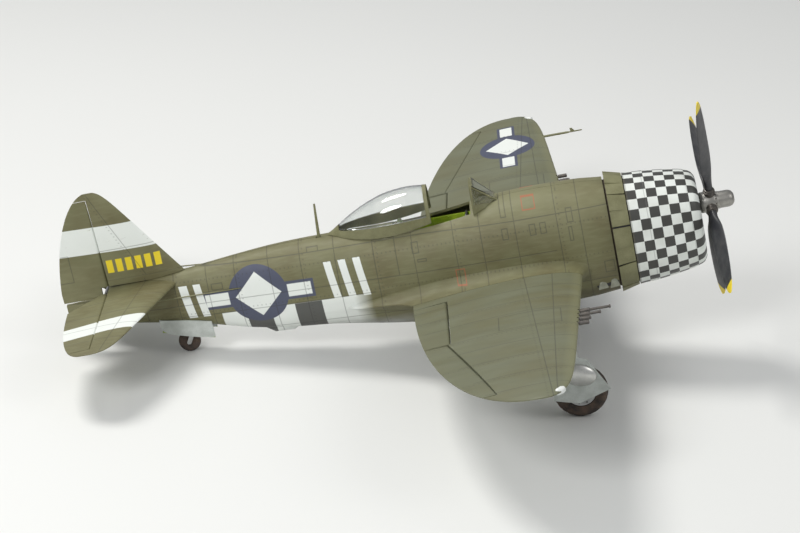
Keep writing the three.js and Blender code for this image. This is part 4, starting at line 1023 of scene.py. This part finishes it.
def main_leg(side, name, silver, steel, dark):
    x, y, z = MAIN_WHEEL["x"], MAIN_WHEEL["y"], MAIN_WHEEL["z"]
    top = Vector((-2.55, side * LEG_Y, -0.42))
    foot = Vector((x - 0.02, side * LEG_Y, z + 0.02))
    run = foot - top
    outer = [turned([(0, 0), (0.045, 0), (0.045, 0.72), (0.05, 0.725), (0.05, 0.78), (0.042, 0.785),
            (0.042, 0.86),
            (0.036, 0.87), (0, 0.87)], top, run, 24)]
    piston = [turned([(0, 0.85), (0.032, 0.85), (0.032, 1.3), (0.045, 1.31), (0.045, 1.4), (0, 1.4)], top,
            run, 24)]
    axle = [rod((x, side * (LEG_Y + 0.05), z), (x, side * (LEG_Y - 0.05), z), 0.07, count=28),
            rod((x, side * LEG_Y, z), (x, side * (y - 0.1), z), 0.03)]
    new_piece(f"oleo_leg_{name}", merged(outer + axle), silver, replaced=[f"main_leg_{name}"])
    new_piece(f"oleo_piston_{name}", merged(piston), steel)
    along = run.normalized()
    upper, middle, lower = (top + along * d for d in (0.78, 1.03, 1.28))
    knee = middle + Vector((0.13, 0, 0))
    ahead = Vector((0.04, 0, 0))
    links = [rod(upper + ahead, knee, 0.014, count=12), rod(knee, lower + ahead, 0.014,
            count=12),
            rod(knee - Vector((0, 0.03, 0)), knee + Vector((0, 0.03, 0)), 0.018, count=12)]
    hose = [rod(top + along * a + Vector((-0.06, 0, 0)), top + along * b + Vector((-0.06, 0, 0)), 0.009,
            count=10)
            for a, b in ((0.2, 0.8), (0.8, 1.34))]
    new_piece(f"torque_links_{name}", merged(links), silver)
    new_piece(f"brake_hose_{name}", merged(hose), dark)


def gear_door(side, name, pale, chromate, silver):
    """The leg's fairing door: an outer plate with ribs on its inner face and a blister on its outer face."""
    outline = [(-2.93, -1.83), (-2.55, -1.94), (-2.32, -1.87), (-2.03, -1.78), (-2.16, -1.53), (-2.31, -1.23),
            (-2.45, -1.16), (-2.46, -0.62), (-2.7, -0.62), (-2.76, -1.1), (-2.91, -1.6)]
    low, high = (2.58, 2.595) if side > 0 else (-2.595, -2.58)
    plate = prism(outline, "y", low, high)
    new_piece(f"leg_door_{name}", plate, pale, replaced=[f"gear_door_{name}"])
    inner = side * 2.572
    ribs = [box(rear, front, inner - 0.006, inner + 0.006, z - 0.008, z + 0.008)
            for rear, front, z in ((-2.7, -2.48, -0.8), (-2.72, -2.48, -1.0), (-2.78, -2.34, -1.25),
            (-2.83, -2.26, -1.4), (-2.88, -2.18, -1.6), (-2.88, -2.12, -1.76))]
    new_piece(f"leg_door_ribs_{name}", merged(ribs), chromate)
    blister = loft([[(-2.48 + 0.27 * reach * math.cos(t), side * (2.59 + 0.1 * rise),
            -1.46 + 0.19 * reach * math.sin(t)
            - 0.05 * reach * math.cos(t)) for t in spread(0, 2 * math.pi, 40)[:-1]]
            for reach, rise in ((math.cos(a), math.sin(a)) for a in spread(0, math.pi / 2 - 0.02, 14))])
    new_piece(f"leg_door_blister_{name}", blister, silver)


def tail_gear(silver, rubber, pale, chromate):
    x, z = TAIL_WHEEL["x"], TAIL_WHEEL["z"]
    post = turned([(0, 0), (0.04, 0), (0.04, 0.3), (0.034, 0.31), (0.034, 0.36), (0.04, 0.37), (0.04, 0.4),
            (0, 0.4)],
            (TAIL_LEG_X, 0, -0.2), (0, 0, -1), 24)
    crown = rod((TAIL_LEG_X, -0.1, -0.6), (TAIL_LEG_X, 0.1, -0.6), 0.032)
    arms = [prism([(TAIL_LEG_X - 0.045, -0.58), (TAIL_LEG_X + 0.045, -0.58), (x + 0.04, z),
            (x + 0.02, z - 0.03),
            (x - 0.02, z - 0.03), (x - 0.04, z)], "y", min(s * 0.075, s * 0.098), max(s * 0.075, s * 0.098))
            for s in (1, -1)]
    axle = rod((x, -0.1, z), (x, 0.1, z), 0.6 * MM)
    new_piece("tail_fork_casting", merged([post, crown, *arms, axle]), silver, "tail_fork", ["tail_leg"])
    new_piece("tail_tyre", tyre(TAIL_WHEEL, 1, 0.6 * MM + GAP), rubber, "tail_roller", ["tail_wheel"],
            sharp=50)
    for name, side in (("left", 1), ("right", -1)):
        clear = combined(tail_door(side), [fuselage_body(-0.01)])
        new_piece(f"tail_door_{name}", clear, pale)
        edge = []
        rows = [(-8.28, 0.21, -0.73), (-8.7, 0.19, -0.64), (-9.13, 0.13, -0.52)]
        for (x0, y0, z0), (x1, y1, z1) in zip(rows, rows[1:]):
            edge.append(rod((x0, side * (y0 + 0.45 * MM), z0), (x1, side * (y1 + 0.45 * MM), z1), 0.013,
                    count=10))
        new_piece(f"tail_door_edge_{name}", merged(edge), chromate)


# ------------------------------------------------------------------ windscreen, cockpit and small fittings
def windscreen(glass, olive):
    """A flat sloping front pane and two triangular side panes in a thin frame, with an arch behind."""
    arch_x, wall = -3.72, GLASS_WALL

    def section(x, foot, shoulder, top, grow):
        side = [(foot - grow, 0.2), (foot - grow, shoulder), (foot * 0.62 - grow, top - 0.05 - grow),
                (foot * 0.35, top - grow)]
        return [(x, y, z) for y, z in side] + [(x, -y, z) for y, z in reversed(side)]
    outer = loft([section(-3.25, 0.18, 0.6, 0.7, 0), section(arch_x, 0.36, 0.74, 1.1, 0)])
    inner = loft([section(-3.31, 0.18, 0.6, 0.7, wall), section(arch_x - 0.06, 0.36, 0.74, 1.1, wall)])
    shell = combined(outer, [inner, fuselage_body(GAP)])
    foot = [(-3.8, 0), (-3.8, 1.4), (-3.665, 1.4), (-3.665, 0.8), (-3.1, 0.74), (-3.1, 0)]
    rim = combined(shell.copy(), [prism(foot, "y", -1, 1)], "INTERSECT")
    bars = []
    for side in (1, -1):
        bars.append(rod((-3.3, side * 0.12, 0.7), (-3.69, side * 0.222, 1.045), 0.013, count=12))
        bars.append(rod((-3.69, side * 0.222, 1.045), (-3.7, side * 0.345, 0.76), 0.016, count=12))
    bars.append(rod((-3.69, -0.222, 1.045), (-3.69, 0.222, 1.045), 0.016, count=12))
    new_piece("windscreen_rim", rim, olive, replaced=["windscreen_frame"], sharp=30)
    new_piece("windscreen_pillars", merged(bars), olive)
    panes = []
    for side in (1, -1):
        corners = [(-3.3, side * 0.125, 0.7), (-3.69, side * 0.225, 1.04), (-3.69, side * 0.34, 0.78)]
        panes.append(loft([corners, [(x, y - side * 0.008, z) for x, y, z in corners]]))
    front = [(-3.28, 0.1, 0.71), (-3.67, 0.21, 1.06), (-3.67, -0.21, 1.06), (-3.28, -0.1, 0.71)]
    panes.append(loft([front, [(x - 0.012, y, z - 0.012) for x, y, z in front]]))
    new_piece("windscreen_panes", merged(panes), glass, replaced=["windscreen_glass"], sharp=20)


def cockpit(chromate, dark, seat_paint, belt, silver):
    """Tub with ribs and side consoles, instrument panel with round dials, seat with belts, and a stick."""
    wall, half = 1 * MM, COCKPIT["half"]
    rear, front, floor, rim = COCKPIT["rear"], COCKPIT["front"], -0.14, 0.46
    tub = combined(box(rear, front, -half, half, floor, rim),
            [box(rear + wall, front - wall, -half + wall, half - wall, floor + wall, 1)])
    ribs = []
    for side in (1, -1):
        inner = side * (half - wall)
        for x in spread(rear + 0.12, front - 0.12, 8):
            ribs.append(box(x - 0.01, x + 0.01, inner - 0.018, inner + 0.002, floor + 0.05, rim - 0.01))
        for z in (0.2, 0.36):
            ribs.append(box(rear + 0.06, front - 0.06, inner - 0.012, inner + 0.002, z - 0.008, z + 0.008))
    new_piece("cockpit_floor_and_walls", merged([tub, *ribs]), chromate, replaced=["cockpit_tub"],
            sharp=25)
    consoles = []
    for side in (1, -1):
        low, high = sorted((side * 0.17, side * 0.245))
        consoles.append(box(-4.5, -3.95, low, high, floor + wall, 0.14))
        for x in (-4.4, -4.25, -4.12):
            consoles.append(rod((x, side * 0.21, 0.14), (x, side * 0.21, 0.17), 0.02, count=16))
    new_piece("cockpit_consoles", merged(consoles), dark)
    panel = box(-3.87, -3.84, -0.24, 0.24, 0.16, 0.5)
    dials, faces = [], []
    for row, z in enumerate((0.42, 0.33, 0.24)):
        for y in spread(-0.18, 0.18, 4):
            radius = 0.034 if row < 2 else 0.026
            dials.append(turned([(radius - 0.008, 0), (radius, 0), (radius, 0.012), (radius - 0.008, 0.012)],
                    (-3.87, y, z), (-1, 0, 0), 20, looped=True))
            faces.append(rod((-3.868, y, z), (-3.874, y, z), radius - 0.009, count=16))
    new_piece("instrument_board", panel, dark)
    new_piece("dial_rings", merged(dials), silver)
    new_piece("dial_faces", merged(faces), dark)
    pan = box(-4.93, -4.55, -0.2, 0.2, floor + wall + GAP, 0.06)
    hollow = box(-4.87, -4.5, -0.16, 0.16, 0.0, 0.2)
    back = prism([(-4.98, 0), (-4.88, 0), (-4.9, 0.42), (-4.93, 0.58), (-4.98, 0.58)], "y", -0.2, 0.2)
    head = turned([(0, 0), (0.08, 0), (0.1, 0.02), (0.1, 0.05), (0.08, 0.07), (0, 0.07)], (-4.97, 0, 0.56),
            (1, 0, 0), 32)
    new_piece("seat_pan_and_back", merged([combined(pan, [hollow]), back, head]), seat_paint,
            replaced=["pilot_seat"], sharp=30)
    belts = []
    for y in (-0.08, 0.08):
        belts.append(box(-4.876, -4.866, y - 0.022, y + 0.022, 0.02, 0.5))
        belts.append(box(-4.86, -4.6, y - 0.022, y + 0.022, 0.062, 0.07))
    buckles = [box(-4.72, -4.66, y - 0.028, y + 0.028, 0.068, 0.08) for y in (-0.08, 0.08)]
    new_piece("seat_belts", merged(belts), belt)
    new_piece("belt_buckles", merged(buckles), silver)
    stick = [rod((-4.2, 0, floor + wall), (-4.24, 0, 0.2), 0.014, count=12),
            rod((-4.24, 0, 0.19), (-4.25, 0, 0.29), 0.022, count=12)]
    new_piece("control_stick", merged(stick), dark)


def fittings(olive, dark, white, grey):
    """Mast, oil-cooler doors with a dark box of painted shade in each opening, and wing-tip lights."""
    mast = loft([[(MAST_X + 0.05 * share + 0.03 * (1 - share * 0.45) * math.cos(t),
            0.016 * (1 - share * 0.45) * math.sin(t), 0.44 + 0.72 * share)
            for t in spread(0, 2 * math.pi, 16)[:-1]] for share in spread(0, 1, 8)])
    new_piece("mast", mast, olive, replaced=["antenna_mast"])
    doors, shade_boxes = [], []
    for side in (1, -1):
        for x in (-1.87, -1.68):
            top = [(x + 0.02, side * 0.63, -0.74), (x - 0.03, side * 0.62, -0.74),
                    (x - 0.01, side * 0.6, -0.74)]
            low = [(x + 0.085, side * 0.6, -0.93), (x - 0.085, side * 0.64, -0.93),
                    (x - 0.05, side * 0.5, -0.93)]
            doors.append(loft([top, low]))
        # a dark box in each opening is painted shade
        low, high = sorted((side * 0.4, side * 0.605))
        shade_boxes.append(box(-1.97, -1.61, low, high, -0.9, -0.8))
    new_piece("oil_cooler_doors", merged(doors), grey, sharp=25)
    new_piece("oil_cooler_shade_boxes", merged(shade_boxes), dark)
    lamps = []
    for side in (1, -1):
        y = 6.03
        lamps.append(turned([(0, -0.1), (0.03, -0.095), (0.05, -0.05), (0.055, 0.03), (0.04, 0.07),
                (0, 0.085)],
                (wing_lead(y) - 0.05, side * y, wing_z(y)), (1, -side * 0.8, 0), 24))
    new_piece("wing_tip_lights", merged(lamps), white)


def equipment(silver, dark, olive):
    """Push rods, battery straps, and the chips and pins of the receiver board."""
    for name, line in (("rudder_pushrod", RUDDER_ROD), ("elevator_pushrod", ELEVATOR_ROD)):
        new_piece(f"{name}_wire", rod(*line, 0.32 * MM), olive, name, [name])
    straps = [box(x - 0.05, x + 0.05, -0.307, 0.307, -1.096, -0.694) for x in (-2.5, -3.2)]
    new_piece("battery_straps", merged(straps), dark)
    chips = [box(x - 0.05, x + 0.05, y - 0.05, y + 0.05, -0.18, -0.15)
            for x in (-2.5, -2.3, -2.08) for y in (-0.13, 0.0, 0.13)]
    new_piece("board_chips", merged(chips), dark)
    new_piece("board_pins", merged([rod((-2.58, y, -0.18), (-2.58, y, -0.1), 0.008, count=8)
            for y in spread(-0.18, 0.18, 7)]), silver)


def carried_over(paints):
    """Gives every CAD node that stays in view its own procedural paint."""
    for paint, names in paints:
        for name in names:
            mesh = NODES[name].data
            mesh.materials.clear()
            mesh.materials.append(paint)


# ------------------------------------------------------------------ stage, light and camera
def stage_and_light():
    verts = [(-3, -2.5, 0), (3, -2.5, 0), (3, 3.5, 0), (-3, 3.5, 0)]
    mesh = bpy.data.meshes.new("floor")
    mesh.from_pydata(verts, [], [(0, 1, 2, 3)])
    floor = bpy.data.objects.new("floor", mesh)
    bpy.context.scene.collection.objects.link(floor)
    paint = Paint("pale_floor", Roughness=0.55)
    mesh.materials.append(paint.finish(paint.mix((0.76, 0.765, 0.745), (0.72, 0.725, 0.705),
            paint.noise(0.05, 2))))

    def softbox(name, place, aim, size, watts, colour):
        light = bpy.data.lights.new(name, "AREA")
        light.shape, light.size, light.energy, light.color = "DISK", size, watts, colour
        lamp = bpy.data.objects.new(name, light)
        lamp.location = place
        lamp.rotation_euler = (Vector(aim) - Vector(place)).to_track_quat("-Z", "Y").to_euler()
        bpy.context.scene.collection.objects.link(lamp)
    softbox("key", (-0.6, 0.3, 1.3), (0, 0, 0.03), 0.5, 12.5, (1.0, 0.985, 0.96))
    softbox("side", (1.1, -0.5, 1.0), (0, 0, 0.04), 0.8, 4, (1.0, 0.99, 0.98))
    softbox("front", (-0.7, -1.25, 1.05), (0, 0, 0.05), 0.55, 14, (1.0, 1.0, 1.0))
    world = bpy.data.worlds.new("studio")
    world.use_nodes = True
    world.node_tree.nodes["Background"].inputs[0].default_value = (0.9, 0.92, 0.95, 1)
    world.node_tree.nodes["Background"].inputs[1].default_value = 0.42
    bpy.context.scene.world = world
    bpy.context.scene.view_settings.view_transform = "Standard"


def camera():
    """A long lens well back on the starboard side, a little above the model."""
    data = bpy.data.cameras.new("camera")
    data.lens, data.sensor_width = 112.8, 36
    lens = bpy.data.objects.new("camera", data)
    lens.location = (0.0106, -1.1895, 0.522)
    look = (Vector((0.0024, 0, 0.0483)) - lens.location).to_track_quat("-Z", "Y")
    lens.rotation_mode = "QUATERNION"
    lens.rotation_quaternion = look @ Matrix.Rotation(math.radians(0.54), 3, "Z").to_quaternion()
    bpy.context.scene.collection.objects.link(lens)
    bpy.context.scene.camera = lens


def main():
    camera()
    stage_and_light()
    olive, wing_olive, tail_olive = fuselage_paint(), wing_paint(), tail_paint()
    plain_olive = speckled("olive_fittings", OLIVE, OLIVE_LIGHT, 5, 0.6)
    checks, black = checker_paint(), blade_paint()
    glass, thin_glass = glass_paint("clear_canopy", 1.45), glass_paint("clear_panes", 1.15)
    polished = speckled("polished_metal", (0.4, 0.39, 0.36), (0.24, 0.23, 0.21), 6, 0.4, 1.0)
    steel = speckled("steel", (0.55, 0.55, 0.56), (0.35, 0.33, 0.3), 20, 0.3, 1.0)
    silver = speckled("silver_paint", (0.5, 0.51, 0.5), (0.3, 0.29, 0.27), 12, 0.4, 0.6)
    bare = speckled("bare_aluminium", (0.62, 0.62, 0.59), (0.45, 0.45, 0.43), 7, 0.32, 0.8)
    gunmetal = speckled("gunmetal", (0.08, 0.075, 0.07), (0.16, 0.14, 0.12), 16, 0.42, 0.6)
    # dark plastic, also used for the painted shade in the cooler openings and under the cowl flaps
    dark = speckled("dark_plastic_and_shade", (0.02, 0.02, 0.021), (0.05, 0.048, 0.045), 14, 0.5)
    chromate = speckled("zinc_chromate", (0.3, 0.42, 0.02), (0.19, 0.28, 0.02), 8, 0.55)
    rubber = speckled("dusty_tyre", (0.036, 0.03, 0.026), (0.15, 0.1, 0.07), 9, 0.85)
    pale = speckled("door_grey", (0.5, 0.53, 0.5), (0.34, 0.36, 0.33), 7, 0.55)
    white = speckled("white_plastic", (0.72, 0.74, 0.72), (0.6, 0.61, 0.58), 8, 0.35)
    grey = speckled("cooler_door_grey", (0.27, 0.28, 0.22), (0.14, 0.14, 0.1), 9, 0.5)
    brass = speckled("push_tube_metal", (0.4, 0.36, 0.28), (0.2, 0.18, 0.15), 14, 0.4, 0.8)
    seat_green = speckled("seat_green", (0.1, 0.13, 0.05), (0.17, 0.2, 0.09), 10, 0.6)
    webbing = speckled("belt_webbing", (0.45, 0.4, 0.28), (0.33, 0.29, 0.2), 40, 0.8)
    wrap = speckled("battery_wrap", (0.03, 0.09, 0.27), (0.05, 0.13, 0.34), 5, 0.3)
    board = speckled("board_green", (0.01, 0.14, 0.05), (0.02, 0.19, 0.08), 30, 0.35)
    ply = speckled("stained_ply", (0.06, 0.045, 0.03), (0.1, 0.075, 0.045), 14, 0.7)
    carbon = speckled("carbon_bar", (0.018, 0.018, 0.02), (0.05, 0.05, 0.055), 40, 0.35)
    nylon = speckled("white_nylon", (0.75, 0.75, 0.72), (0.62, 0.62, 0.58), 12, 0.45)

    fuselage_shells(olive)
    belly_hatch(olive)
    cowl(checks)
    cowl_flap_ring(plain_olive, dark)
    engine(gunmetal, silver, brass)
    propeller(black, polished, gunmetal)
    for name, side in (("left", 1), ("right", -1)):
        wing_panel(side, wing_olive, name)
        wing_surfaces(side, wing_olive, name)
        wing_guns(side, gunmetal, name)
        main_wheel(side, name, rubber, silver, dark)
        main_leg(side, name, silver, steel, dark)
        gear_door(side, name, pale, chromate, bare)
    pitot(plain_olive)
    tail_surfaces(tail_olive)
    canopy_parts(plain_olive, glass)
    windscreen(thin_glass, plain_olive)
    cockpit(chromate, dark, seat_green, webbing, silver)
    tail_gear(silver, rubber, pale, chromate)
    fittings(plain_olive, dark, white, grey)
    equipment(silver, dark, plain_olive)
    carried_over([
        (ply, ["firewall"]), (gunmetal, ["motor_stator"]), (polished, ["motor_bell"]), (wrap, ["battery"]),
        (board, ["receiver_board"]), (carbon, ["wing_joiner"]),
        (steel, ["prop_shaft", "elevator_joiner"]),
        (dark, ["rudder_servo", "elevator_servo", "aileron_servo_left", "aileron_servo_right"]),
        (nylon, ["rudder_servo_arm", "elevator_servo_arm", "aileron_arm_left", "aileron_arm_right"]),
    ])
    bpy.context.view_layer.update()


main()
